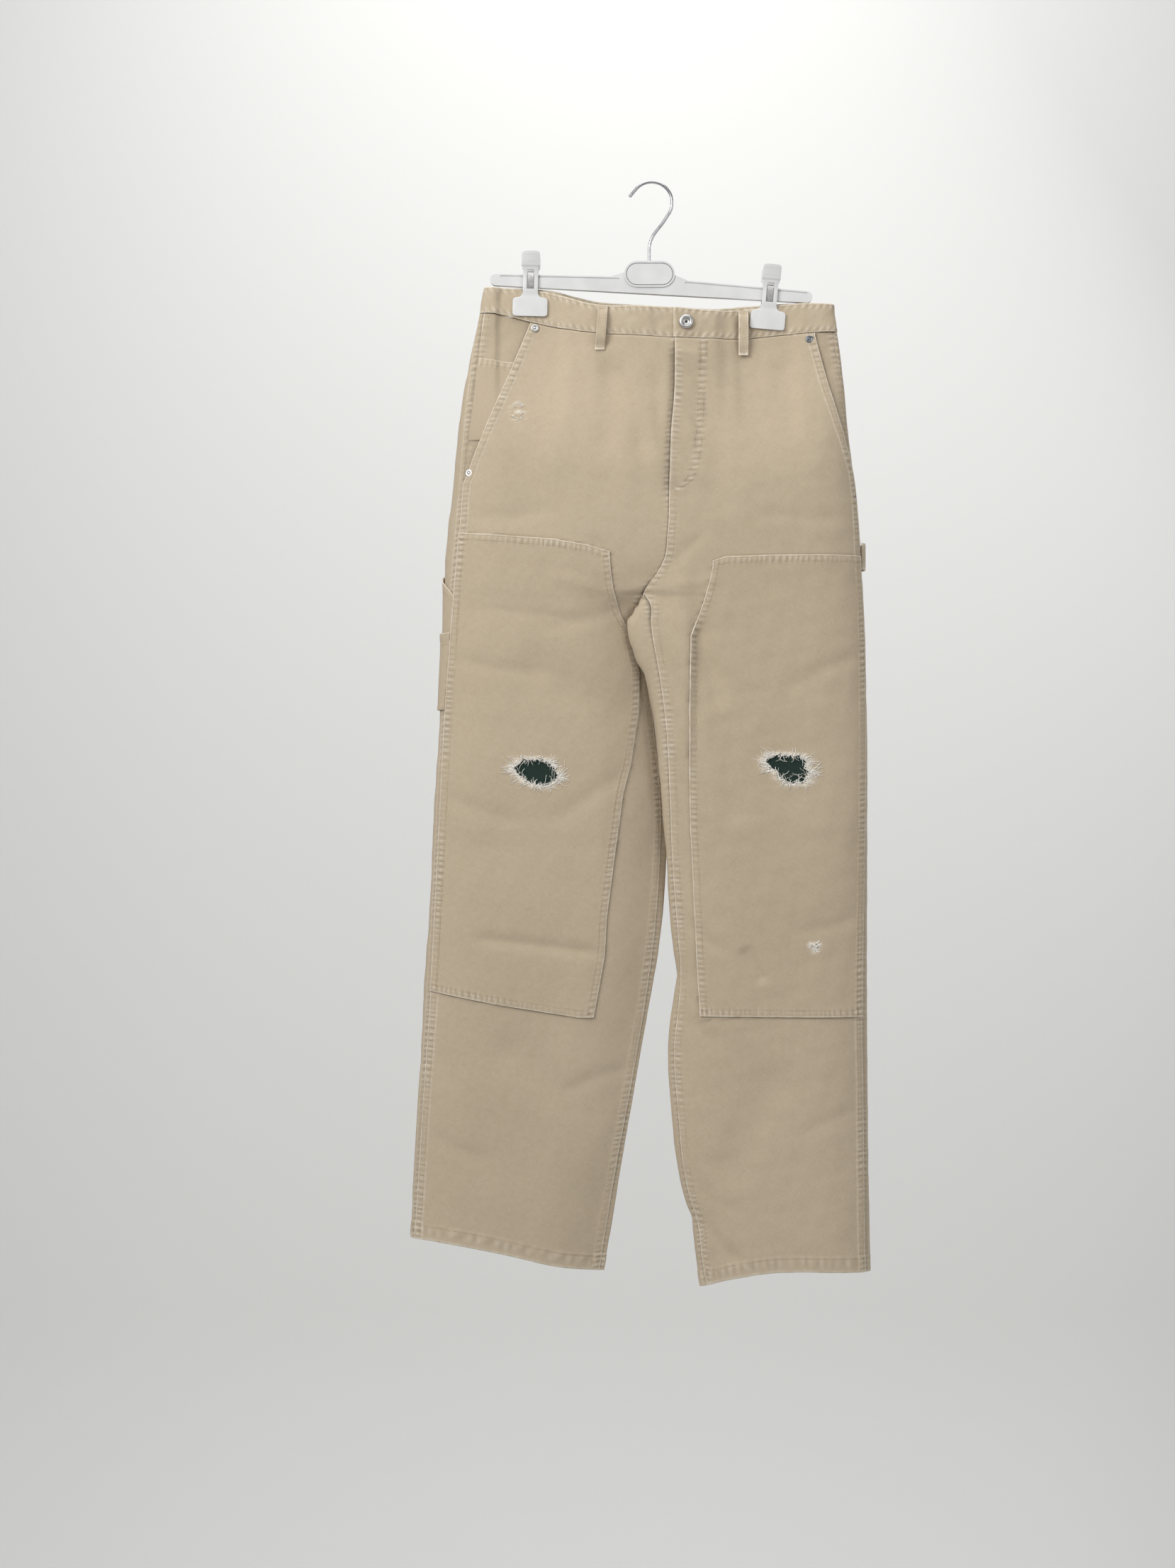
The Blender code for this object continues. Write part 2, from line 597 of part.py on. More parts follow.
def build_tool_pockets(panels):
    back = panels["back", "right"]
    overlay("tool_pocket", back, TOOL_POCKET["front"], GAP, GAP + CLOTH,
            back_outline=TOOL_POCKET["back"])
    overlay("tool_pocket_small", back, SMALL_POCKET["front"], 2 * GAP + CLOTH,
            2 * (GAP + CLOTH), back_outline=SMALL_POCKET["back"])


def build_fly():
    """The underlap behind the fly's edge, on the right front."""
    heights = np.linspace(FLY_TOP - 2, FLY_BOTTOM - 2, 10)
    rows = []
    for z in heights:
        x = curve(CENTRE, z) + np.linspace(-14, 33, 5)
        rows.append(np.stack([x, cloth_depth("left", "front", x, z, fly=False), np.full(5, z)],
                             axis=1))
    points = np.array(rows)
    normals = np.zeros_like(points)
    normals[:, :, 1] = -1
    wall("fly_shield", points, normals, -2 * CLOTH - 0.9, -CLOTH - 0.9)


def band_row(half, share, end):
    """A line round half the waistband, share 0 at its lower seam and 1 at its top edge."""
    def height(face, x):
        low = curve(BAND_SEAM, x, face_column(face)) + GAP / 2
        return low + (curve(BAND_TOP, x, face_column(face)) - low) * share

    outer = float(curve(OUTER[half], height("front", OUTWARD[half] * 205.0)))
    seam = curve(CENTRE, -170.0)
    runs = []
    for face, start, stop in (("front", end, outer), ("back", outer, seam)):
        turn = np.linspace(0, math.pi, 140)
        x = start + (stop - start) * (1 - np.cos(turn)) / 2
        z = height(face, x)
        runs.append(np.stack([x, cloth_depth(half, face, x, z, fly=False), z], axis=1))
    return np.concatenate([runs[0], runs[1][1:]])


def build_waistband():
    """Two halves that meet at the centre back; the left one laps over the right in front."""
    lap = float(curve(CENTRE, -170.0))
    starts = {"right": lap + 37.0, "left": lap - 1.7}
    for half in ("right", "left"):
        rows = np.array([spread(band_row(half, share, starts[half]), 34, crowd=0.25)
                         for share in (1.0, 0.5, 0.0)])
        rows[:, -1] += unit(rows[:, -2] - rows[:, -1]) * GAP / 2
        normals = grid_normals(rows, -OUTWARD[half])
        normals[:, :, 2] = 0
        normals = unit(normals)
        if half == "right":
            under = ease((rows[:, :, 0] - (lap - 32)) / 12) * (rows[:, :, 1] < 0)
            rows = rows - normals * (under * (BAND + GAP))[:, :, None]
        wall(f"waistband_{half}", rows, normals, BAND_PROUD - BAND, BAND_PROUD)


def faces_of(*names):
    """Search trees of pieces, to lay others on them."""
    trees = []
    for name in names:
        mesh = bpy.data.objects[name].data
        trees.append(BVHTree.FromPolygons([v.co for v in mesh.vertices],
                                          [tuple(f.vertices) for f in mesh.polygons]))
    return trees


def resting_depth(trees, face, xs, z):
    """Y, in millimetres, of the outermost cloth in front or behind, over a width."""
    sign = SIGN[face]
    found = []
    for x in xs:
        for tree in trees:
            hit = tree.ray_cast((x * MM, sign * 0.2, z * MM), (0, -sign, 0))[0]
            if hit:
                found.append(hit[1] / MM * sign)
    return sign * max(found)


def build_belt_loops():
    """Folded strips, sewn down above and below and standing off the band for a belt."""
    trees = {face: faces_of("waistband_right", "waistband_left", f"{face}_right",
                            f"{face}_left") for face in SIGN}
    half_width = LOOP_WIDTH / 2
    across = np.linspace(-half_width, half_width, 7)
    for name, (face, top_x, low_x) in BELT_LOOPS.items():
        top = float(curve(BAND_TOP, top_x, face_column(face))) - 1.2
        seam = float(curve(BAND_SEAM, low_x, face_column(face)))
        low = seam - LOOP_BELOW_SEAM
        heights = (top, top - 5.5, top - 9.5, seam + 3, seam - 8, low + 6, low)
        centres = np.interp(heights, (low, top), (low_x, top_x))
        lies = [resting_depth(trees[face], face, centre + across, z)
                for centre, z in zip(centres, heights)]
        band = SIGN[face] * max(depth * SIGN[face] for depth in lies[:4])
        stands = (lies[0] + SIGN[face] * GAP, lies[1] + SIGN[face] * GAP,
                  band + SIGN[face] * LOOP_STAND, band + SIGN[face] * LOOP_STAND,
                  band + SIGN[face] * (LOOP_STAND - 0.4), lies[5] + SIGN[face] * 2 * GAP,
                  lies[6] + SIGN[face] * GAP)
        points = np.array([[[x + side * half_width, y, z] for side in (-1, 1)]
                           for x, y, z in zip(centres, stands, heights)])
        slope = np.gradient(points, axis=0)
        normals = np.stack([slope[:, :, 0] * 0, slope[:, :, 2], -slope[:, :, 1]], axis=2)
        normals = unit(normals) * np.sign(slope[0, 0, 2]) * SIGN[face]
        wall(name, points, normals, 0.0, STRAP)


def build_hammer_loop():
    """A wide strap from the left side seam, standing off the fold, to the back panel."""
    middle = sum(HAMMER_HEIGHT) / 2
    side = float(curve(SIDE_SEAM["left"], middle))
    outer = float(curve(OUTER["left"], middle))
    rows = []
    for z in HAMMER_HEIGHT:
        x_front = np.linspace(side + 0.6 * (outer - side), outer, 20)
        x_back = outer - (1 - np.cos(np.linspace(0, math.pi / 2, 60))) * 62
        run = np.concatenate([
            np.stack([x_front, cloth_depth("left", "front", x_front, middle), x_front * 0 + z], 1),
            np.stack([x_back, cloth_depth("left", "back", x_back, middle), x_back * 0 + z], 1)[1:],
        ])
        rows.append(spread(run, 17, crowd=0.0))
    points = np.array(rows)
    normals = grid_normals(points, -OUTWARD["left"])
    normals[:, :, 2] = 0
    normals = unit(normals)
    share = np.linspace(0, 1, 17)
    stand = 1.0 + HAMMER_STAND * np.sin(math.pi * np.clip((share - 0.02) / 0.76, 0, 1))
    points = points + normals * stand[None, :, None]
    normals = grid_normals(points, -OUTWARD["left"])
    normals[:, :, 2] = 0
    wall("hammer_loop", points, unit(normals), 0.0, STRAP)


def turned(name, profile, place, normal, finish, segments=24):
    """A round piece turned from (radius, height) pairs, its axis along the normal."""
    vertices, faces = [], []
    for radius, height in profile:
        for k in range(segments):
            turn = 2 * math.pi * k / segments
            vertices.append((radius * math.cos(turn), radius * math.sin(turn), height))
    for ring in range(len(profile) - 1):
        for k in range(segments):
            a, b = ring * segments + k, ring * segments + (k + 1) % segments
            faces.append([a, b, b + segments, a + segments])
    faces.append(list(range(segments))[::-1])
    faces.append([(len(profile) - 1) * segments + k for k in range(segments)])
    made = new_object(name, vertices, faces, finish)
    from_z = Matrix([tuple(row) for row in frame_of(normal)]).transposed().to_4x4()
    made.matrix_world = Matrix.Translation([c * MM for c in place]) @ from_z
    return made


def frame_of(normal):
    """Three axes with the last along the normal."""
    normal = np.array(normal, float) / np.linalg.norm(normal)
    side = np.cross((0.0, 0.0, 1.0), normal)
    side = side / np.linalg.norm(side)
    return side, np.cross(normal, side), normal


def surface_place(half, x, z, reach):
    """A place on a front panel under a round piece, and the normal there."""
    tree, = faces_of(f"front_{half}")
    spots = []
    for turn in np.linspace(0, 2 * math.pi, 13)[:-1]:
        for radius in (0, reach):
            at = (x + radius * math.cos(turn), z + radius * math.sin(turn))
            hit = tree.ray_cast((at[0] * MM, -0.2, at[1] * MM), (0, 1, 0))[0]
            if hit:
                spots.append([c / MM for c in hit])
    spots = np.array(spots)
    middle = spots.mean(axis=0)
    normal = np.linalg.svd(spots - middle)[2][2]
    normal = normal * -np.sign(normal[1])
    centre = np.array((x, 0.0, z))
    centre[1] = middle[1] - ((x - middle[0]) * normal[0] + (z - middle[2]) * normal[2]) / normal[1]
    rise = ((spots - centre) @ normal).max()
    return centre + normal * (rise + GAP), normal


def build_metal():
    x, z = BUTTON_PLACE
    radius = BUTTON_DIAMETER / 2
    trees = faces_of("waistband_left")
    face_y = min(resting_depth(trees, "front", x + np.linspace(-radius, radius, 9), z + up)
                 for up in (-radius, 0, radius)) - GAP
    profile = ((radius - 1.2, 0), (radius, 0.9), (radius - 0.2, 2.0), (radius - 1.8, 3.1),
               (radius - 4.0, 3.0), (2.4, 1.8), (2.0, 1.2))
    turned("waist_button", profile, (x, face_y, z), (0, -1, 0), "steel", 28)
    cap = RIVET_DIAMETER / 2
    profile = ((cap - 0.4, 0), (cap, 0.5), (cap - 0.6, 1.2), (2.4, 1.1), (1.7, 0.8),
               (1.3, 1.5), (0.6, 1.8))
    for name, (half, x, z) in RIVETS.items():
        place, normal = surface_place(half, x, z, cap)
        turned(name, profile, place, normal, "steel" if half == "right" else "gunmetal", 18)


def arc(centre, radius, start, end, count):
    """Points of an arc, angles in degrees from +X towards +Z."""
    turns = np.radians(np.linspace(start, end, count))
    return [(centre[0] + radius * math.cos(t), centre[1] + radius * math.sin(t)) for t in turns]


def slab(name, outline, depth, finish="plastic"):
    """An outline across and up, given a depth about the middle plane."""
    made = prism(name, outline, front_y=-depth / 2, back_y=depth / 2)
    made.hide_render = False
    made.display_type = "TEXTURED"
    made.data.materials.append(material(finish))
    return made


def bar_point(half, along, up):
    """A place on an arm of the bar, from its middle outwards and up from its centre line."""
    _, slope = BAR_ARMS[half]
    x = BAR_MIDDLE[0] + OUTWARD[half] * along
    drop = math.tan(slope) * along
    z = BAR_MIDDLE[1] + (drop if half == "right" else -drop)
    return x, z + up


def build_hanger():
    half_height = BAR_HEIGHT / 2
    lengths = {half: abs(BAR_ARMS[half][0] - BAR_MIDDLE[0]) for half in BAR_ARMS}
    outline = []
    for half, start, end in (("right", 90, 270), ("left", -90, 90)):
        centre = bar_point(half, lengths[half] - half_height, 0)
        outline += arc(centre, half_height, start, end, 9)
    outline += [bar_point("left", 46, half_height), bar_point("left", 28, half_height + 6),
                bar_point("right", 28, half_height + 6), bar_point("right", 46, half_height)]
    bar = slab("hanger_bar", outline, BAR_DEPTH)
    x, z, half_wide, half_tall, depth = MEDALLION
    ends = half_wide - half_tall
    oval = arc((x + ends, z), half_tall, -90, 90, 13) + arc((x - ends, z), half_tall, 90, 270, 13)
    medallion = prism("medallion", oval, front_y=-depth / 2, back_y=depth / 2)
    cut(bar, medallion, "UNION")
    for half, inner, outer in (("right", 36, 176), ("left", 42, 186)):
        low, high = half_height - 3.6, half_height - 1.6
        groove = [bar_point(half, inner, low), bar_point(half, outer, low),
                  bar_point(half, outer, high), bar_point(half, inner, high)]
        for face, near, far in (("front", -9, -2.6), ("back", 2.6, 9)):
            cut(bar, prism(f"groove_{face}_{half}", groove, front_y=near, back_y=far),
                "DIFFERENCE")
    socket_radius = HOOK_WIRE / 2 + GAP
    top = z + half_tall
    bore = turned("hook_socket", ((socket_radius, 0), (socket_radius, 16)),
                  (x, 0, top - 12), (0, 0.0001, 1), None, 16)
    bore.hide_render = True
    bore.display_type = "WIRE"
    cut(bar, bore, "DIFFERENCE")


def build_hook():
    """Wire that turns over the rail, runs back under it and down into the bar."""
    centre_z = -HOOK_RADIUS + HOOK_WIRE / 2
    path = arc((0, centre_z), HOOK_RADIUS, 140, -38, 22)
    tip_turn = math.radians(140)
    tip = (path[0][0] - math.sin(tip_turn) * HOOK_TIP, path[0][1] + math.cos(tip_turn) * HOOK_TIP)
    stem_x = MEDALLION[0]
    path = [tip] + path + [(13.0, -47.0), (6.2, -55.5), (1.6, -62.0), (-1.4, -69.0),
                           (stem_x, -76.0), (stem_x, -84.0), (stem_x, -103.5)]
    line = bpy.data.curves.new("hanger_hook", "CURVE")
    line.dimensions = "3D"
    run = line.splines.new("POLY")
    run.points.add(len(path) - 1)
    for point, (x, z) in zip(run.points, path):
        point.co = (x * MM, 0, z * MM, 1)
    line.bevel_depth = HOOK_WIRE / 2 * MM
    line.bevel_resolution = 2
    line.use_fill_caps = True
    hook = bpy.data.objects.new("hanger_hook", line)
    bpy.context.scene.collection.objects.link(hook)
    line.materials.append(material("steel"))


def build_clip(half):
    """Two plastic jaws across the bar, held by a bent steel strip in their windows."""
    along = abs(CLIP_ACROSS[half] - BAR_MIDDLE[0])
    place = bar_point(half, along, 0)
    slope = BAR_ARMS[half][1]
    stand = Matrix.Translation((place[0] * MM, 0, place[1] * MM)) @ Matrix.Rotation(slope, 4, "Y")
    width, low, high = CLIP_WINDOW
    for face in ("front", "back"):
        rows = [[(-wide, SIGN[face] * inner, z), (wide, SIGN[face] * inner, z)]
                for z, wide, inner in CLIP_SECTIONS]
        points = np.array(rows)
        normals = np.zeros_like(points)
        normals[:, :, 1] = SIGN[face]
        jaw = wall(f"clip_{face}_{half}", points, normals, 0.0, CLIP_PLASTIC, "plastic")
        jaw.matrix_world = stand
        window = [(-width / 2, low), (width / 2, low), (width / 2, high), (-width / 2, high)]
        opening = prism(f"clip_window_{face}_{half}", window, front_y=-20, back_y=20)
        opening.matrix_world = stand
        cut(jaw, opening, "DIFFERENCE")
    strip_half = width / 2 - 0.5
    arch = [(-5.6, low + 1), (-5.2, 4.0), (-4.6, high - 2.4), (-3.0, high - 1.2),
            (3.0, high - 1.2), (4.6, high - 2.4), (5.2, 4.0), (5.6, low + 1)]
    points = np.array([[(-strip_half, y, z), (strip_half, y, z)] for y, z in arch])
    run = np.gradient(points, axis=0)
    normals = unit(np.stack([run[:, :, 0] * 0, -run[:, :, 2], run[:, :, 1]], axis=2))
    spring = wall(f"clip_spring_{half}", points, normals, -0.4, 0.4, "steel")
    spring.matrix_world = stand


def build():
    clear_scene()
    panels = trouser_panels()
    build_panels(panels)
    build_pockets(panels)
    build_knees(panels)
    build_tool_pockets(panels)
    build_fly()
    build_waistband()
    build_belt_loops()
    build_hammer_loop()
    build_metal()
    build_hanger()
    build_hook()
    for half in ("right", "left"):
        build_clip(half)


build()
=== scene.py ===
import math
import bmesh
import bpy
import numpy as np
from mathutils import Matrix, Vector


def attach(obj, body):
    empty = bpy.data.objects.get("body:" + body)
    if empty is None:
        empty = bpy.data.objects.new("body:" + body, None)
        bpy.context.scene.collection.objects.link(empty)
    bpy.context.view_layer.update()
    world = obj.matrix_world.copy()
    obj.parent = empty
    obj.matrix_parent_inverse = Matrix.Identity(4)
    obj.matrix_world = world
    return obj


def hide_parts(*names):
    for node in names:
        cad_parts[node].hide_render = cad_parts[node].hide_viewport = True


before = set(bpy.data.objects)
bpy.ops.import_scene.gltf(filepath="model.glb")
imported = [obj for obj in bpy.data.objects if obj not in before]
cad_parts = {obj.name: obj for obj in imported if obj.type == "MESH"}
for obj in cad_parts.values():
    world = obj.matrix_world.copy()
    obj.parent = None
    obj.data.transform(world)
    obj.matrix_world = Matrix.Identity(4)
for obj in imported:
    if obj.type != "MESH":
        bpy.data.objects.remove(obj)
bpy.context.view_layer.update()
bpy.ops.object.select_all(action="DESELECT")

# ---------------------------------------------------------------------------------------------
# Camera, floor and light: a level camera straight in front, two and a half metres off, a pale
# floor that sweeps up into a pale wall well behind, and broad soft lamps round the room.

CAMERA_PLACE = (-0.0758, -2.575, -0.71)
FLOOR_HEIGHT, FLOOR_FRONT, FLOOR_SIDE = -3.2, -6.0, 5.0
WALL_PLACE, WALL_BEND, WALL_TOP = 3.6, 1.0, 3.4
BEND_STEPS = 12
LAMP_TARGET, WALL_TARGET = (0, 0, -0.7), (0, 3.6, -0.9)
# name, place, target, width, watts
LAMPS = (("window side", (-2.1, -2.3, 0.9), LAMP_TARGET, 1.7, 84.0),
         ("room side", (2.2, -2.4, -0.1), LAMP_TARGET, 2.0, 24.0),
         ("ceiling", (0.0, -0.9, 1.6), LAMP_TARGET, 1.6, 22.0),
         ("far side", (2.6, 2.4, 0.9), LAMP_TARGET, 1.4, 26.0),
         ("wall", (0.0, 1.7, 2.4), WALL_TARGET, 2.4, 56.0))

bpy.ops.object.camera_add(location=CAMERA_PLACE, rotation=(math.pi / 2, 0, 0))
camera = bpy.context.object
camera.data.sensor_fit = "VERTICAL"
camera.data.sensor_height = 36.0
camera.data.lens = 50.0
bpy.context.scene.camera = camera
bpy.context.scene.view_settings.view_transform = "Standard"

sweep = [(FLOOR_FRONT, FLOOR_HEIGHT)]
for step in range(BEND_STEPS + 1):
    turn = math.pi / 2 * step / BEND_STEPS
    sweep.append((WALL_PLACE - WALL_BEND + WALL_BEND * math.sin(turn),
                  FLOOR_HEIGHT + WALL_BEND - WALL_BEND * math.cos(turn)))
sweep.append((WALL_PLACE, WALL_TOP))
floor_mesh = bpy.data.meshes.new("studio_floor")
floor_mesh.from_pydata([(side * FLOOR_SIDE, y, z) for y, z in sweep for side in (-1, 1)], [],
                       [[2 * i, 2 * i + 1, 2 * i + 3, 2 * i + 2] for i in range(len(sweep) - 1)])
studio_floor = bpy.data.objects.new("studio_floor", floor_mesh)
bpy.context.scene.collection.objects.link(studio_floor)
floor_mesh.shade_smooth()
pale_paper = bpy.data.materials.new("pale paper")
pale_paper.use_nodes = True
paper_shader = pale_paper.node_tree.nodes["Principled BSDF"]
paper_shader.inputs["Base Color"].default_value = (0.8, 0.795, 0.77, 1)
paper_shader.inputs["Roughness"].default_value = 0.9
floor_mesh.materials.append(pale_paper)

for lamp_name, place, target, size, power in LAMPS:
    bpy.ops.object.light_add(type="AREA", location=place)
    lamp = bpy.context.object
    lamp.name = lamp_name
    lamp.data.size = size
    lamp.data.energy = power
    aim = Vector(target) - Vector(place)
    lamp.rotation_euler = aim.to_track_quat("-Z", "Y").to_euler()
world = bpy.data.worlds.new("soft room")
bpy.context.scene.world = world
world.use_nodes = True
sky = world.node_tree.nodes["Background"]
sky.inputs["Color"].default_value = (0.93, 0.95, 1.0, 1)
sky.inputs["Strength"].default_value = 0.3

# ---------------------------------------------------------------------------------------------
# The trousers' form: flat-hung canvas trousers, opened to a few centimetres by their own
# stiffness, pinched flat under the clips. Sizes are millimetres, x to the wearer's left.

CLOTH = 1.2                # one layer of canvas
GAP = 0.3                  # between neighbours at a seam
CROTCH = -486.7
OPENING_DROP = 170.0       # the flat waist has opened to its full depth this far below the band
FORK_REACH = {"front": 70.0, "back": 120.0}
INNER_REACH = 85.0
LEAN_REACH = 85.0
TOUCHING_POWER = 1.7       # legs lie against each other with a lens-shaped edge
ROUND_POWER = 2.0
BACK_HEM_DROP = 3.5
FLY_LIFT, FLY_WIDTH = 2.0, 40.0
FLY_TOP, FLY_BOTTOM = -187.0, -368.0
CROTCH_SOFT, SOFT_STEPS = 30.0, (-18, -12, -6, 0, 6, 12, 18)

SIGN = {"front": -1.0, "back": 1.0}
OUTWARD = {"right": -1.0, "left": 1.0}

# height, across: the outer fold of each leg, seen from the front
OUTER = {
    "right": ((-1300, -287), (-1205, -283.3), (-1122, -279), (-1038, -273.5), (-955, -269.5),
              (-872, -263.5), (-788, -259.5), (-700, -254.5), (-620, -250), (-505, -245),
              (-438, -242.5), (-355, -235), (-288, -227.5), (-222, -217.5), (-155, -203.5),
              (-115, -196)),
    "left": ((-1310, 259.5), (-1205, 257.5), (-1122, 256), (-955, 255), (-705, 255),
             (-538, 252.5), (-455, 248), (-405, 245.5), (-372, 242.5), (-338, 238),
             (-305, 233.5), (-238, 227.5), (-205, 223.5), (-164, 217.5), (-115, 213)),
}
# height, across: the side seams, a little in front of the outer folds
SIDE_SEAM = {
    "right": ((-1300, -282), (-1242, -279), (-1074, -268.5), (-952, -260), (-768, -250),
              (-623, -242.5), (-490, -232.5), (-416, -226), (-351, -221), (-255, -212),
              (-155, -198.5), (-115, -191)),
    "left": ((-1310, 251.5), (-1253, 251), (-1074, 248.7), (-983, 247.2), (-792, 249.3),
             (-622, 250), (-538, 249.5), (-455, 245), (-372, 240), (-305, 231),
             (-238, 225), (-164, 215), (-115, 210.5)),
}
# height, across: the inner folds of the legs
INNER = {
    "right": ((-1300, -60), (-1205, -43.3), (-1122, -29.2), (-1038, -15), (-955, 0),
              (-905, 8.5), (-838, 15.8), (-788, 18), (-747, 17.5), (-705, 13.3), (-622, 5),
              (-563, -2), (-522, -9), (-505, -11), (-494, -11.5), (-486.7, -10)),
    "left": ((-1310, 56.5), (-1272, 52.5), (-1238, 48.5), (-1222, 47.5), (-1205, 40.5),
             (-1172, 32.5), (-1122, 25), (-1088, 21.7), (-1038, 19), (-988, 21), (-955, 26.5),
             (-938, 29.5), (-905, 25), (-872, 21.5), (-788, 16.7), (-705, 8.3), (-622, -0.8),
             (-588, -8.5), (-563, -20), (-538, -30), (-522, -31), (-509, -24), (-497, -16),
             (-486.7, -10)),
}
# height, across: the inseams
INSEAM = {
    "right": ((-1300, -64.5), (-1240, -55), (-1150, -40), (-1037, -19), (-857, 6), (-747, 11),
              (-622, 0), (-538, -11), (-509, -14), (-494, -13.5), (-486.7, -10)),
    "left": ((-1310, 67), (-1280, 61), (-1220, 52.5), (-1197, 45), (-1170, 39), (-1100, 31.5),
             (-1011, 27), (-988, 29.5), (-928, 34.2), (-891, 31), (-792, 23.5), (-719, 20.8),
             (-646, 16.7), (-581, 8.3), (-549, 2.5), (-523, -1.5), (-497, -3), (-486.7, -10)),
}
# height, across: the fly edge and the curved crotch seam under it
CENTRE = ((-486.7, -10), (-480, -6.5), (-463, 6), (-449, 13.5), (-419, 17.5), (-348, 20),
          (-290, 22.5), (-257, 25.5), (-187, 26.7), (-115, 27))
# height, depth of the inner fold: behind the middle plane on the right leg, before it on the left
LEAN = {
    "right": ((-1310, 0), (-930, 0), (-860, 3), (-800, 8), (-700, 9), (-560, 11), (-538, 11),
              (-522, 8), (-509, 0), (-497, -9), (-486.7, -16), (-460, -8), (-400, 0), (-115, 0)),
    "left": ((-1310, 0), (-1000, 0), (-900, -2), (-800, -8), (-700, -12), (-620, -14),
             (-560, -16), (-486.7, -16), (-460, -8), (-400, 0), (-115, 0)),
}
# height, half depth in front of and behind the middle plane, reach of the outer rounding
DEPTH = ((-1310, 22, 22, 62), (-1150, 24, 24, 68), (-1000, 26, 26, 72), (-800, 28, 28, 74),
         (-600, 30, 32, 74), (-487, 31, 40, 70), (-430, 33, 44, 66), (-350, 34, 42, 60),
         (-260, 30, 34, 44), (-190, 20, 22, 26), (-155, 14, 14, 18), (-115, 10, 10, 16))
# across, half depth of the waist in front and behind: pinched flat where the clips grip
WAIST = ((-210, 7, 7), (-186, 7, 7), (-177, 1.95, 1.95), (-112, 1.95, 1.95), (-95, 7, 8),
         (-60, 13, 12), (-20, 17, 13), (27, 18, 14), (70, 15, 13), (92, 7, 8),
         (107, 1.95, 1.95), (162, 1.95, 1.95), (180, 7, 8), (220, 8, 9))
# across, height in front, height behind: the waistband's top edge and its lower seam
BAND_TOP = ((-205, -123, -123), (-197, -123.3, -123.3), (-124, -129, -126), (-62, -146, -137.5),
            (-17, -147.5, -140.8), (28, -149.5, -143), (82, -152.5, -146), (117, -149, -145),
            (157, -143.5, -142), (220, -143.3, -143.3))
BAND_SEAM = ((-205, -154, -154), (-181, -155.5, -156), (-141, -165, -161), (-105, -172.5, -166),
             (-65, -179, -171), (-17, -182.5, -174.5), (24, -185, -177), (104, -185, -179.5),
             (157, -180, -178), (222, -175.8, -175.8))
# across, height: the hems
HEM = {
    "right": ((-290, -1244.5), (-264, -1246), (-218, -1253), (-156, -1266), (-108, -1277.5),
              (-77, -1282), (-50, -1285)),
    "left": ((50, -1305), (66, -1300), (81, -1295), (102, -1290), (129, -1285), (169, -1282.5),
             (208, -1283), (265, -1284.5)),
}
# The largest folds by half and face: start (across, height), end, half width, rise
FOLDS = {
    ("right", "front"): (
        ((-53, -213), (-6, -326), 16, -3.5), ((-150, -560), (-30, -640), 30, -3.0),
        ((-226, -500), (-88, -516), 9, -2.0), ((-208, -890), (-60, -908), 10, -2.5),
        ((-180, -1010), (-60, -1110), 32, -3.0)),
    ("left", "front"): (
        ((34, -455), (33, -690), 17, 5.0), ((56, -520), (78, -620), 15, -5.0),
        ((78, -620), (96, -760), 22, -3.0), ((107, -902), (130, -942), 10, -3.0),
        ((150, -1040), (80, -1180), 34, -3.0), ((56, -1222), (100, -1272), 9, -3.0)),
    ("left", "back"): (
        ((-14, -500), (-7, -585), 8, 3.5), ((70, -420), (130, -520), 26, -4.0),
        ((70, -740), (180, -700), 24, -4.0), ((190, -1010), (90, -1120), 30, -3.0)),
    ("right", "back"): (
        ((-60, -420), (-120, -520), 26, -4.0), ((-180, -690), (-70, -730), 22, -4.0),
        ((-210, -980), (-90, -1090), 30, -3.0)),
}


def curve(table, at, column=1):
    """A smooth curve through a table's rows, read at any place along its first column."""
    rows = np.array(table, float)
    rows = rows[np.argsort(rows[:, 0])]
    places, values = rows[:, 0], rows[:, column]
    slopes = np.gradient(values, places)
    at = np.clip(at, places[0], places[-1])
    i = np.clip(np.searchsorted(places, at) - 1, 0, len(places) - 2)
    span = places[i + 1] - places[i]
    t = (at - places[i]) / span
    return ((2 * t**3 - 3 * t**2 + 1) * values[i] + (t**3 - 2 * t**2 + t) * span * slopes[i]
            + (3 * t**2 - 2 * t**3) * values[i + 1] + (t**3 - t**2) * span * slopes[i + 1])


def ease(t):
    t = np.clip(t, 0, 1)
    return t * t * (3 - 2 * t)


def eased(table, at, column=1):
    """Like curve, but level at every row, so that flats stay flat."""
    rows = np.array(table, float)
    places, values = rows[:, 0], rows[:, column]
    at = np.clip(at, places[0], places[-1])
    i = np.clip(np.searchsorted(places, at) - 1, 0, len(places) - 2)
    t = ease((at - places[i]) / (places[i + 1] - places[i]))
    return values[i] * (1 - t) + values[i + 1] * t


def swell(a, power):
    """Rise of a rounded edge from 0 to 1: a quarter round at power 2, a lens edge below it."""
    a = np.clip(a, 0, 1)
    if power == ROUND_POWER:
        return np.sqrt(1 - (1 - a)**2)
    return 1 - (1 - a)**power


def face_column(face):
    return 1 if face == "front" else 2


def seam_height(face, x):
    return curve(BAND_SEAM, x, face_column(face))


def inner_line(half, z):
    """The centre line above the crotch and the leg's inner fold below it."""
    return np.where(z > CROTCH, curve(CENTRE, z), curve(INNER[half], z))


def beside(start, end, x, z):
    """Share of the way along a line and distance off it, and the line's length."""
    run = np.array(end, float) - np.array(start, float)
    length = np.hypot(*run)
    along = ((x - start[0]) * run[0] + (z - start[1]) * run[1]) / length**2
    off = ((x - start[0]) * run[1] - (z - start[1]) * run[0]) / length
    return along, off, length


def close_to(distance, place, width):
    """1 at a place, falling softly to 0 a little over its width away."""
    return np.exp(-((distance - place) / width)**2)


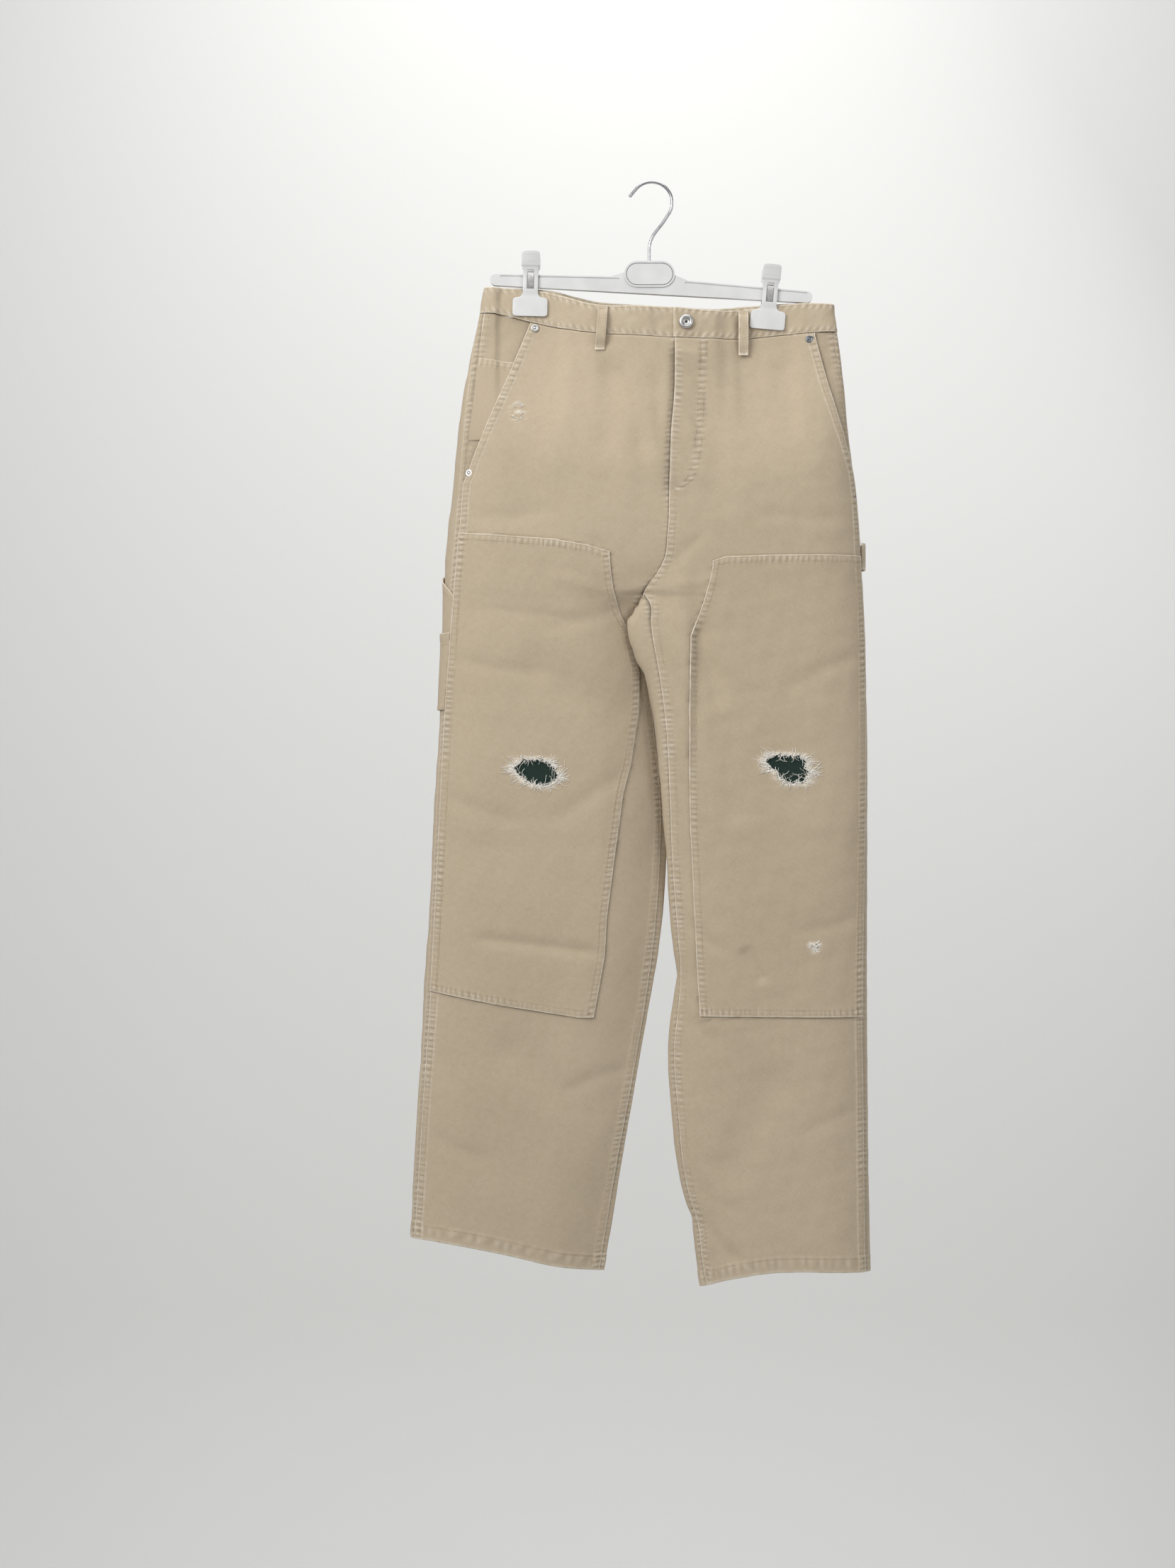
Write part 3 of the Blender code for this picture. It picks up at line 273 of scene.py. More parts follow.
def fold_rise(half, face, x, z):
    """Troughs and ridges of the largest folds, outwards."""
    rise = np.zeros_like(x)
    for start, end, reach, height in FOLDS[half, face]:
        along, off, _ = beside(start, end, x, z)
        ends = ease(along / 0.25 + 0.4) * ease((1 - along) / 0.25 + 0.4)
        rise += height * ends * np.exp(-(off / reach)**2 * 1.6)
    return rise


def cloth_depth(half, face, x, z, fly=True):
    """Y of the cloth's outer face at a place across and a height."""
    x, z = np.broadcast_arrays(np.asarray(x, float), np.asarray(z, float))
    sign = SIGN[face]
    inner = inner_line(half, z)
    lean = curve(LEAN[half], z) * (1 - ease(np.abs(x - inner) / LEAN_REACH))
    opened = ease((seam_height(face, x) - z) / OPENING_DROP)
    deep = (eased(WAIST, x, face_column(face)) * (1 - opened)
            + curve(DEPTH, z, face_column(face)) * opened)
    touching = (half, face) in (("right", "front"), ("left", "back"))
    bulge_in = swell(np.abs(x - inner) / INNER_REACH, TOUCHING_POWER if touching else ROUND_POWER)
    fork = np.where(z > CROTCH, swell((z - CROTCH) / FORK_REACH[face], ROUND_POWER), 0)
    outer = curve(OUTER[half], z)
    bulge_out = swell(np.abs(x - outer) / curve(DEPTH, z, 3), ROUND_POWER)
    share = bulge_out * (fork + (1 - fork) * bulge_in)
    y = lean + sign * (deep - sign * lean) * share + sign * share * fold_rise(half, face, x, z)
    if fly and (half, face) == ("left", "front"):
        down = ease((FLY_TOP - z) / 18) * ease((z - FLY_BOTTOM) / 18)
        y = y - FLY_LIFT * down * (1 - ease((x - inner) / FLY_WIDTH))
    return y


def soft_depth(half, face, x, z, fly=True):
    """cloth_depth, eased over the height of the crotch, where canvas bends without a crease."""
    x, z = np.broadcast_arrays(np.asarray(x, float), np.asarray(z, float))
    y = cloth_depth(half, face, x, z, fly)
    near = close_to(z, CROTCH, CROTCH_SOFT) * ease((np.abs(x - inner_line(half, z)) - 8) / 34)
    if near.max() < 0.01:
        return y
    even = sum(cloth_depth(half, face, x, z + up, fly) for up in SOFT_STEPS) / len(SOFT_STEPS)
    return y * (1 - near) + even * near


def row_height(half, face, x, level):
    """Height of a row of points: level 0 to 1 from the band to the crotch, 1 to 2 to the hem."""
    if level <= 1:
        top = seam_height(face, x) - GAP - 0.2
        return top + (CROTCH - top) * level
    hem = curve(HEM[half], x)
    if face == "back":
        ends = [curve(line[half], -1270.0) for line in (INNER, OUTER)]
        middle, reach = sum(ends) / 2, abs(ends[1] - ends[0]) / 2
        hem = hem - BACK_HEM_DROP * np.clip(1 - ((x - middle) / reach)**2, 0, 1)
    return CROTCH + (hem - CROTCH) * (level - 1)


def settle(half, face, line, level):
    """Where a line that is given by height crosses a row."""
    x = np.asarray(line(CROTCH), float)
    for _ in range(8):
        x = line(row_height(half, face, x, level))
    return float(x)


def stretch(half, face, start, end, level, count):
    """Points of a row between two places across, closest together at both ends."""
    turn = np.linspace(0, math.pi, count)
    x = start + (end - start) * (1 - np.cos(turn)) / 2
    z = row_height(half, face, x, level)
    return np.stack([x, soft_depth(half, face, x, z), z], axis=1)


# ---------------------------------------------------------------------------------------------
# Sand-beige cotton canvas: washed, matt, with uneven slubby yarns both ways. It is rubbed pale
# on every edge and on the puckers of the seams, with painted shade darker down in them.

def washed_canvas(name, colours, slub=0.22):
    """Colours are the mid, light, dark and rubbed shades; slub is how much single yarns differ."""
    made = bpy.data.materials.new(name)
    made.use_nodes = True
    tree = made.node_tree
    shader = tree.nodes["Principled BSDF"]
    shader.inputs["Roughness"].default_value = 0.9
    shader.inputs["Specular IOR Level"].default_value = 0.2
    shader.inputs["Sheen Weight"].default_value = 0.1
    shader.inputs["Sheen Roughness"].default_value = 0.6
    mid, light, dark, rubbed = [(*shade, 1.0) for shade in colours]
    place = tree.nodes.new("ShaderNodeTexCoord")

    def noise(source, scale, detail, stretch_by=(1, 1, 1)):
        turn = tree.nodes.new("ShaderNodeMapping")
        turn.inputs["Scale"].default_value = stretch_by
        tree.links.new(place.outputs[source], turn.inputs["Vector"])
        grain = tree.nodes.new("ShaderNodeTexNoise")
        grain.inputs["Scale"].default_value = scale
        grain.inputs["Detail"].default_value = detail
        tree.links.new(turn.outputs["Vector"], grain.inputs["Vector"])
        return grain.outputs["Fac"]

    def ramp(source, low, high):
        steps = tree.nodes.new("ShaderNodeMapRange")
        steps.inputs["From Min"].default_value = low
        steps.inputs["From Max"].default_value = high
        tree.links.new(source, steps.inputs["Value"])
        return steps.outputs["Result"]

    def maths(operation, first, second):
        step = tree.nodes.new("ShaderNodeMath")
        step.operation = operation
        for socket, value in zip(step.inputs, (first, second)):
            if isinstance(value, float):
                socket.default_value = value
            else:
                tree.links.new(value, socket)
        return step.outputs["Value"]

    def mix(amount, under, over):
        blend = tree.nodes.new("ShaderNodeMix")
        blend.data_type = "RGBA"
        tree.links.new(amount, blend.inputs["Factor"])
        for socket, value in ((blend.inputs["A"], under), (blend.inputs["B"], over)):
            if isinstance(value, tuple):
                socket.default_value = value
            else:
                tree.links.new(value, socket)
        return blend.outputs["Result"]

    def attribute(layer):
        reader = tree.nodes.new("ShaderNodeAttribute")
        reader.attribute_name = layer
        return reader.outputs["Fac"]

    warp = noise("UV", 1.0, 2.0, (1500, 240, 1))
    weft = noise("UV", 1.0, 2.0, (240, 1500, 1))
    fine = noise("UV", 1.0, 1.0, (2600, 2600, 1))
    cloud = noise("Object", 4.0, 2.0)
    patchy = noise("Object", 130.0, 3.0)
    yarns = maths("MULTIPLY", maths("ADD", warp, weft), 0.5)
    colour = mix(maths("MULTIPLY", ramp(cloud, 0.35, 0.65), 0.45), mid, light)
    colour = mix(maths("MULTIPLY", ramp(yarns, 0.62, 0.36), slub), colour, dark)
    colour = mix(maths("MULTIPLY", ramp(yarns, 0.52, 0.72), slub), colour, light)
    # Painted shade: the 'shade' attribute darkens the colour patchily towards the dark shade.
    colour = mix(maths("MULTIPLY", attribute("shade"), ramp(patchy, 0.0, 0.6)), colour, dark)
    worn = maths("MULTIPLY", attribute("wear"), ramp(maths("ADD", patchy, fine), 0.55, 1.15))
    colour = mix(worn, colour, rubbed)
    tree.links.new(colour, shader.inputs["Base Color"])
    bump = tree.nodes.new("ShaderNodeBump")
    bump.inputs["Strength"].default_value = 0.45
    bump.inputs["Distance"].default_value = 0.0006
    tree.links.new(maths("ADD", yarns, maths("MULTIPLY", fine, 0.35)), bump.inputs["Height"])
    tree.links.new(bump.outputs["Normal"], shader.inputs["Normal"])
    return made


canvas = washed_canvas("washed sand canvas", ((0.43, 0.345, 0.236), (0.505, 0.41, 0.289),
                                              (0.235, 0.18, 0.118), (0.76, 0.69, 0.57)))

# ---------------------------------------------------------------------------------------------
# The four panels: two fronts with slanted pocket mouths and two backs that wrap round the
# outer folds to the side seams and round the inner folds to the inseams. The seams are felled
# and twice stitched, so washing has roped and puckered them.

SEAM_BAND = 9.0
SEW_ROWS = (1.6, 7.8)                          # from the seam to the two rows of stitches
HEM_FOLD, HEM_ROW = 18.0, 16.2
RUB = 0.9                                      # how far a rubbed edge reaches
EDGE_STEPS = (0.0, 0.8, 1.6, 2.6, 4.0, 5.4, 6.8, 7.8, 8.8, 9.8, 11.5, 14.0)
NEAR_ROW, FAR_ROW = 2, 7                       # columns of the two rows of stitches
MIDDLE_COLUMNS = {"front": 36, "back": 40}
UNDERLAP = 3.0
FLY_LAP = 0.9                                  # the left front lies over the right one
TUCK = 2.6                                     # an edge that lies under its neighbour
PUCKER, HEM_PUCKER, FLY_PUCKER = 6.6, 8.2, 7.1
SEAM_SEED = {"right": 1.0, "left": 2.3}
RIPPLE_SEED = {("front", "right"): 3, ("back", "right"): 7, ("front", "left"): 23,
               ("back", "left"): 27}
RIPPLES = ((0.75, 120), (0.3, 42), (0.1, 15))  # height and size of the cloth's waves
POCKET_SLANT = {
    "right": ((-143.3, -150), (-143.3, -165), (-210.8, -331), (-217, -349), (-228, -372)),
    "left": ((192.5, -160), (192.5, -181), (205.8, -234), (225.8, -302), (237.5, -347.5),
             (252, -376)),
}
# Creases smaller than the form's folds by half and face: start, end, half width, rise
CREASES = {
    ("left", "front"): (
        ((39, -500), (42, -715), 7, 2.6), ((50, -505), (53, -700), 8, -1.8),
        ((62, -215), (84, -392), 13, -2.4), ((92, -210), (112, -330), 14, 1.8),
        ((150, -205), (166, -300), 12, -1.6), ((27, -198), (60, -214), 4, 1.4),
        ((25, -268), (60, -312), 4, 1.5), ((27, -212), (64, -246), 5, -1.5),
        ((26, -232), (66, -276), 4, 1.2), ((25, -250), (62, -300), 5, -1.6),
        ((24, -285), (58, -334), 5, -1.3), ((24, -315), (52, -352), 4, 1.2),
        ((20, -350), (60, -420), 7, -1.3), ((4, -462), (66, -414), 7, -1.4),
        ((6, -486), (80, -470), 7, 1.2), ((2, -520), (50, -640), 6, -1.5),
        ((60, -560), (120, -640), 12, -1.6), ((20, -860), (90, -905), 8, -1.8),
        ((24, -980), (80, -1010), 7, -1.5), ((32, -1170), (110, -1215), 9, -1.6),
        ((50, -1210), (74, -1262), 6, 1.8), ((246, -560), (150, -600), 10, -1.4),
        ((250, -860), (160, -890), 9, -1.4), ((252, -1080), (180, -1120), 9, -1.2),
        ((226, -400), (120, -392), 9, -1.2)),
    ("right", "front"): (
        ((-52, -205), (-58, -330), 15, -1.8), ((-86, -200), (-120, -352), 16, 1.6),
        ((-20, -215), (-34, -400), 12, 1.5), ((4, -222), (20, -330), 8, -2.2),
        ((-16, -250), (10, -360), 9, 1.5), ((-12, -472), (-72, -424), 7, -1.6),
        ((-14, -484), (-120, -470), 8, 1.4), ((-16, -496), (-130, -530), 9, -1.6),
        ((-240, -560), (-120, -585), 9, -1.2), ((-246, -720), (-150, -760), 10, -1.4),
        ((-30, -690), (-120, -760), 11, -1.7), ((-20, -1040), (-110, -1075), 9, -1.4),
        ((-268, -1120), (-190, -1150), 10, -1.3), ((-210, -400), (-120, -390), 9, -1.2)),
    ("right", "back"): (
        ((0, -330), (-80, -420), 10, -1.8), ((-20, -440), (-150, -470), 12, -1.6),
        ((-200, -820), (-100, -860), 12, -1.6), ((-240, -1120), (-140, -1160), 12, -1.4)),
    ("left", "back"): (
        ((40, -330), (110, -420), 10, -1.8), ((10, -440), (140, -470), 12, -1.6),
        ((190, -800), (90, -850), 12, -1.6), ((210, -1100), (120, -1150), 12, -1.4)),
}
# across, height: the knee patches' outlines, and where their ends cross the side seams
KNEE_TOP = {"right": ((-290, -411), (-226, -415.8), (-115, -424), (-75, -431), (-50, -438.5)),
            "left": ((290, -440), (243, -441.7), (137, -442.5), (86, -444.2), (70, -449.2))}
KNEE_INNER = {"right": ((-49, -457), (-45.8, -482), (-37, -512), (-26, -533), (-15.5, -580),
                        (-16, -625), (-25.8, -687), (-35, -724), (-53.3, -866), (-56, -912),
                        (-69.2, -985)),
              "left": ((70.8, -455), (66.7, -474), (60, -497), (51.7, -519), (43.5, -537),
                       (43.5, -677), (44.5, -756), (49.2, -854), (56.7, -987))}
KNEE_BOTTOM = {"right": ((-87.5, -983.3), (-177.5, -969), (-260, -953), (-290, -948)),
               "left": ((109, -982.5), (194, -983.3), (290, -983.3))}
KNEE_AT_SEAM = {"right": (-414.6, -957.0), "left": (-441.9, -983.3)}
FLY_ROWS = 7.2
FLY_STITCH = ((64.2, -188), (61.5, -250), (56.5, -318), (52, -343), (45.5, -356), (33, -364))


def knee_outline(half):
    return KNEE_TOP[half] + KNEE_INNER[half] + KNEE_BOTTOM[half]


def inside(polygon, x, z):
    polygon = np.array(polygon, float)
    result = np.zeros(np.shape(x), bool)
    for (x0, z0), (x1, z1) in zip(polygon, np.roll(polygon, -1, axis=0)):
        crosses = (z0 > z) != (z1 > z)
        reach = x0 + (z - z0) * (x1 - x0) / (z1 - z0 + 1e-9)
        result ^= crosses & (x < reach)
    return result


def rim_distance(polygon, x, z, flatten=1.0, closed=True):
    """Distance to a polygon's edge or an open line, with the height drawn out by flatten."""
    polygon = np.array(polygon, float)
    best = np.full(np.shape(x), 1e9)
    ends = np.roll(polygon, -1, axis=0) if closed else polygon[1:]
    for (x0, z0), (x1, z1) in zip(polygon, ends):
        run = (x1 - x0)**2 + (z1 - z0)**2
        t = np.clip(((x - x0) * (x1 - x0) + (z - z0) * (z1 - z0)) / run, 0, 1)
        off = np.hypot(x - x0 - t * (x1 - x0), (z - z0 - t * (z1 - z0)) * flatten)
        best = np.minimum(best, off)
    return best


def rumple(x, z, seed, size):
    """Gentle uneven waves, from about -1 to 1."""
    draw = np.random.default_rng(seed)
    total = np.zeros(np.shape(x))
    for _ in range(7):
        turn, wave = draw.uniform(0, math.pi), size * draw.uniform(0.6, 1.6)
        phase = draw.uniform(0, 2 * math.pi)
        total += np.sin((x * math.cos(turn) + z * math.sin(turn)) * 2 * math.pi / wave + phase)
    return total / 3.5


def ripple(half, face, x, z):
    """What washing and hanging leave on the cloth beyond its folds, outwards."""
    seed = RIPPLE_SEED[face, half]
    (broad, size), *finer = RIPPLES
    rise = broad * rumple(x, z * 0.7, seed, size)
    for more, (height, size) in enumerate(finer, 1):
        rise = rise + height * rumple(x, z, seed + more, size)
    for start, end, reach, height in CREASES[half, face]:
        along, off, length = beside(start, end, x, z)
        off = off + 3.0 * np.sin(along * 4.0 + length)
        ends = ease(along / 0.3 + 0.3) * ease((1 - along) / 0.3 + 0.3)
        rise += height * ends * close_to(off, 0, reach)
    return rise


def felled(distance, along, seed, height=0.6, pucker=0.5):
    """A felled seam's band: its rise and how far it is puckered up or down across the stitches."""
    band = height * ease((SEAM_BAND + 1.4 - distance) / 1.8)
    sunk = 0.3 * sum(close_to(distance, row, 0.8) for row in SEW_ROWS)
    wander = 1.4 * np.sin(along / 19 + seed) + 1.1 * np.sin(along / 7.3 + 2 * seed)
    swing = np.sin(2 * math.pi * (along + 0.1 * distance) / PUCKER + wander)
    uneven = 0.6 + 0.4 * np.sin(along / 31 + 3 * seed)
    crimp = pucker * uneven * swing * close_to(distance, sum(SEW_ROWS) / 2, 4.4)
    return band - sunk, crimp


def rubbed(*distances):
    return sum(np.exp(-distance / RUB) for distance in distances)


def unit(vectors):
    return vectors / (np.linalg.norm(vectors, axis=-1, keepdims=True) + 1e-9)


def distances(path):
    """Distance run along a path of points."""
    steps = np.linalg.norm(np.diff(path, axis=0), axis=1)
    return np.concatenate([[0], np.cumsum(steps)])


def outward_normals(points, half):
    across = np.gradient(points, axis=1)
    down = np.gradient(points, axis=0)
    return unit(np.cross(across, down) * -OUTWARD[half])


def edge_places(length, middle):
    """Places along a row of cloth, close together in the seam bands at both ends."""
    edge = np.array(EDGE_STEPS) * min(1.0, length / 40.0)
    between = np.linspace(edge[-1], length - edge[-1], middle + 2)[1:-1]
    return np.concatenate([edge, between, length - edge[::-1]])


def along_row(points, middle):
    run = distances(points)
    places = edge_places(run[-1], middle)
    return np.stack([np.interp(places, run, points[:, k]) for k in range(3)], axis=1)


def lengths(points, axis):
    """Distance run along each row (axis 1) or down each column (axis 0)."""
    steps = np.linalg.norm(np.diff(points, axis=axis), axis=2)
    zero = np.zeros_like(np.take(steps, [0], axis=axis))
    return np.concatenate([zero, np.cumsum(steps, axis=axis)], axis=axis)


def pick(piece):
    bpy.ops.object.select_all(action="DESELECT")
    piece.select_set(True)
    bpy.context.view_layer.objects.active = piece


def lay_out(name, mesh):
    """A new object of a mesh, the only one that is selected."""
    piece = bpy.data.objects.new(name, mesh)
    bpy.context.scene.collection.objects.link(piece)
    pick(piece)
    return piece


def finish_piece(piece, finish, nodes=()):
    piece.data.materials.append(finish)
    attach(piece, "root")
    for node in nodes:
        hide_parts(node)


def add_modifier(piece, kind, **settings):
    step = piece.modifiers.new(kind.lower(), kind)
    for key, value in settings.items():
        setattr(step, key, value)
    bpy.ops.object.modifier_apply(modifier=step.name)


def sew_cloth(name, points, half, lift, thickness, wear, shade, finish=canvas, hole=None, nodes=()):
    """A closed sheet of cloth: its outer face on the points moved out by lift, its wall inwards."""
    normals = outward_normals(points, half)
    outer = points + normals * lift[:, :, None]
    rows, columns = lift.shape
    index = np.arange(rows * columns).reshape(rows, columns)
    quads = np.stack([index[:-1, :-1], index[:-1, 1:], index[1:, 1:], index[1:, :-1]], axis=-1)
    if OUTWARD[half] > 0:
        quads = quads[:, :, ::-1]
    quads = quads.reshape(-1, 4)
    if hole is not None:
        quads = quads[~hole.reshape(-1)]
    mesh = bpy.data.meshes.new(name)
    mesh.from_pydata((outer.reshape(-1, 3) / 1000).tolist(), [], quads.tolist())
    loose = bmesh.new()
    loose.from_mesh(mesh)
    # Per point: the rubbed pale wear, and the painted shade that the canvas darkens by.
    layers = [loose.verts.layers.float.new(layer) for layer in ("wear", "shade")]
    weave = loose.loops.layers.uv.new("weave")
    u, v = (lengths(points, axis).reshape(-1) / 1000 for axis in (1, 0))
    values = [np.clip(np.broadcast_to(value, lift.shape).reshape(-1), 0, 1)
              for value in (wear, shade)]
    for vert in loose.verts:
        for layer, value in zip(layers, values):
            vert[layer] = float(value[vert.index])
    for quad in loose.faces:
        quad.smooth = True
        for corner in quad.loops:
            corner[weave].uv = (u[corner.vert.index], v[corner.vert.index])
    bmesh.ops.delete(loose, geom=[vert for vert in loose.verts if not vert.link_faces],
                     context="VERTS")
    loose.to_mesh(mesh)
    loose.free()
    piece = lay_out(name, mesh)
    finish_piece(piece, finish, nodes)
    add_modifier(piece, "SOLIDIFY", thickness=thickness / 1000, offset=-1.0, use_rim=True)
    return piece, outer, normals


def mouth(half, z):
    """The pocket mouth's slanted edge, and below it the side seam."""
    slant = np.array(POCKET_SLANT[half], float)[::-1]
    side = curve(SIDE_SEAM[half], z)
    x = np.where(z < slant[0, 1], side, np.interp(z, slant[:, 1], slant[:, 0]))
    return np.maximum(side, x) if half == "right" else np.minimum(side, x)


ABOVE_ROWS, LEG_ROWS, HEM_ROWS = 118, 296, 16
hem_share = 24.0 / 798.0                       # of a leg's height, with closer rows
panel_levels = np.concatenate([np.linspace(0, 1, ABOVE_ROWS),
                               1 + np.linspace(0, 1 - hem_share, LEG_ROWS)[1:],
                               2 - hem_share * np.linspace(1, 0, HEM_ROWS)[1:]])


def panel_points(face, half):
    rows = []
    for level in panel_levels:
        below = level > 1
        near = float(ease(abs(level - 1) * 12))
        inner = settle(half, "front", lambda z: inner_line(half, z), level)
        seam = settle(half, "front", lambda z: curve(INSEAM[half], z), level) if below else inner
        if face == "front":
            start = seam + (UNDERLAP * near if half == "right" and not below else 0)
            stop = settle(half, "front", lambda z: mouth(half, z), level)
            run = stretch(half, "front", start, stop, level, 160)
        else:
            outer = settle(half, "front", lambda z: curve(OUTER[half], z), level)
            side = settle(half, "front", lambda z: curve(SIDE_SEAM[half], z), level)
            side -= OUTWARD[half] * UNDERLAP
            end = inner + (UNDERLAP * near if half == "right" and not below else 0)
            runs = [stretch(half, "front", side, outer, level, 40),
                    stretch(half, "back", outer, end, level, 160)]
            if below:
                runs.append(stretch(half, "front", inner, seam + OUTWARD[half] * UNDERLAP * near,
                                    level, 40))
            run = np.concatenate([runs[0]] + [part[1:] for part in runs[1:]])
        rows.append(along_row(run, MIDDLE_COLUMNS[face]))
    return np.array(rows)


def hem_relief(points):
    """The turned-up hem: a low step, one row of stitches sunk in it and roping above it."""
    up = lengths(points[::-1], 0)[::-1]
    x = points[:, :, 0]
    step = 0.7 * ease((HEM_FOLD + 1 - up) / 1.6) - 0.35 * close_to(up, HEM_ROW, 0.9)
    wander = 1.3 * np.sin(x / 17) + np.sin(x / 6.1)
    swing = np.sin(2 * math.pi * (x + 0.08 * up) / HEM_PUCKER + wander)
    return step, 0.3 * swing * close_to(up, 12, 5.5), up


def fly_relief(x, z, from_inner):
    """The fly's J of double stitching: its rows, the puckers between them and the open edge."""
    second_row = [(across - FLY_ROWS, height) for across, height in FLY_STITCH[:-1]]
    rows_off = np.minimum(rim_distance(FLY_STITCH, x, z, closed=False),
                          rim_distance(second_row, x, z, closed=False))
    first_row = curve([(height, across) for across, height in FLY_STITCH[::-1]], z)
    swing = np.sin(2 * math.pi * z / FLY_PUCKER + 1.5 * np.sin(z / 14))
    crimp = 0.45 * swing * close_to(first_row - 3.6, x, 4.4)
    crimp = crimp * ((rows_off < 7) & (x < 66) & (z > -366) & (z < -186))
    gape = ease((FLY_TOP - z) / 30) * ease((z - FLY_BOTTOM + 6) / 30) * (1.3 + 0.5 * np.sin(z / 19))
    rise = crimp - 0.35 * close_to(rows_off, 0, 0.9) + gape * close_to(from_inner, 0, 7)
    # The third value is painted shade: darker along the sunk rows and in the puckers' valleys.
    return rise, crimp, 0.5 * close_to(rows_off, 0, 0.9) + np.maximum(-crimp, 0) * 1.6


def panel_relief(face, half, x, z, from_inner, from_outer, points):
    """How far the washed cloth lies out of its form, where it is rubbed pale and where shade is
    painted.
    """
    below = (panel_levels > 1)[:, None]
    seed = SEAM_SEED[half]
    outer_band, outer_crimp = felled(from_outer, z, seed)
    inner_band, inner_crimp = felled(from_inner, z, seed + 1)
    step, rope, up = hem_relief(points)
    fade = ease(np.minimum(from_outer, from_inner) / 25)
    lift = ripple(half, face, x, z) * (0.25 + 0.75 * fade) + step + rope
    crimp = outer_crimp + inner_crimp
    # Painted shade: darker in the valleys of the puckers and the hem's roping, along the sunk stitch
    # rows and the hem's row.
    shade = np.maximum(-crimp, 0) * 1.9 + np.maximum(-rope, 0) * 1.4
    row_off = np.minimum(*(np.abs(from_outer - row) for row in SEW_ROWS))
    shade += 0.35 * close_to(row_off, 0, 0.7) + 0.45 * close_to(up, HEM_ROW, 0.8)
    wear = 0.1 + rubbed(from_outer, from_inner) + np.exp(-up / 1.4)
    wear = wear + 0.25 * close_to(from_outer, 9.4, 1.0)
    wear = wear + np.maximum(crimp, 0) * 1.1 + np.maximum(rope, 0) * 0.9
    if face == "front":
        lift = lift + outer_band + crimp + np.where(below, inner_band, 0.0)
        patch = knee_outline(half)
        # Painted shadow: a dark line on the panel just outside the knee patch's edge.
        shade += 0.8 * close_to(rim_distance(patch, x, z), 0, 1.5) * ~inside(patch, x, z)
    else:
        lift = lift + 0.45 * crimp - TUCK * (1 - ease(from_outer / (UNDERLAP + 1)))
        tucked = below | (half == "right")
        lift = lift - np.where(tucked, TUCK * (1 - ease(from_inner / (UNDERLAP + 1))), 0)
        lift = lift + np.where(~below & (half == "left"), inner_band, 0)
        # Painted shadow: a dark line where the back panel runs under the front's seam bands.
        shade += 0.9 * close_to(from_outer, 3.4, 1.6)
        shade += np.where(below, 0.9 * close_to(from_inner, 3.4, 1.6), 0)
    if (face, half) == ("front", "left"):
        rise, fly_crimp, fly_shade = fly_relief(x, z, from_inner)
        lift = lift + np.where(below, 0, FLY_LAP) + rise
        shade += fly_shade
        wear = np.clip(wear, 0, 1) + np.maximum(fly_crimp, 0) * 1.2
    if (face, half) == ("front", "right"):
        lift = lift - np.where(below, 0, TUCK * (1 - ease(from_inner / 5)))
        # Painted shadow: the right front darker beside its edge down the fly, under the left front's
        # open edge.
        along_fly = ease((FLY_TOP - z) / 20) * ease((z - FLY_BOTTOM + 10) / 20)
        shade += 1.6 * along_fly * close_to(np.maximum(from_inner - 3.0, 0), 0, 6)
        spot = np.exp(-((x + 157.5) / 7)**2 - ((z + 272.5) / 10)**2)
        wear = np.clip(wear, 0, 1) + 1.3 * spot * (rumple(x, z, 5, 6) > 0.1)
    return lift, wear, shade


cloth = {}
for half in ("right", "left"):
    for face in ("front", "back"):
        points = panel_points(face, half)
        from_inner = lengths(points, 1)
        from_outer = lengths(points[:, ::-1], 1)[:, ::-1]
        if face == "back":
            from_inner, from_outer = from_outer, from_inner
        lift, wear, shade = panel_relief(face, half, points[:, :, 0], points[:, :, 2], from_inner,
                                         from_outer, points)
        piece, outer, normals = sew_cloth(f"{face}_panel_{half}", points, half, lift, CLOTH, wear,
                                          shade, nodes=[f"{face}_{half}"])
        cloth[face, half] = (outer, normals)

# ---------------------------------------------------------------------------------------------
# Stitching: rows of lock stitches in a thick sand thread, each stitch a short raised bead whose
# ends dive into the cloth.

def clouded(name, dark, light, scale, roughness=0.5, detail=2.0, low=0.0, high=1.0):
    """A material whose colour wanders between two shades, with its shader and its noise."""
    made = bpy.data.materials.new(name)
    made.use_nodes = True
    tree = made.node_tree
    shader = tree.nodes["Principled BSDF"]
    shader.inputs["Roughness"].default_value = roughness
    place = tree.nodes.new("ShaderNodeTexCoord")
    cloud = tree.nodes.new("ShaderNodeTexNoise")
    cloud.inputs["Scale"].default_value = scale
    cloud.inputs["Detail"].default_value = detail
    shades = tree.nodes.new("ShaderNodeValToRGB")
    for end, at, colour in zip(shades.color_ramp.elements, (low, high), (dark, light)):
        end.position = at
        end.color = (*colour, 1)
    tree.links.new(place.outputs["Object"], cloud.inputs["Vector"])
    tree.links.new(cloud.outputs["Fac"], shades.inputs["Fac"])
    tree.links.new(shades.outputs["Color"], shader.inputs["Base Color"])
    return made, shader, cloud


sewing_thread, _, _ = clouded("sand sewing thread", (0.4, 0.31, 0.2), (0.62, 0.51, 0.36), 90.0, 0.7,
                              low=0.35, high=0.65)

PITCH = 3.3
STATIONS = (0.06, 0.22, 0.64, 0.8)             # of a pitch: in, up, along, down
STATION_LIFT = (-0.25, 0.16, 0.16, -0.25)
STATION_WIDTH = (0.5, 1.0, 1.0, 0.5)
FLY_THREAD = 0.75                              # the fly's rows lie this far above the panel


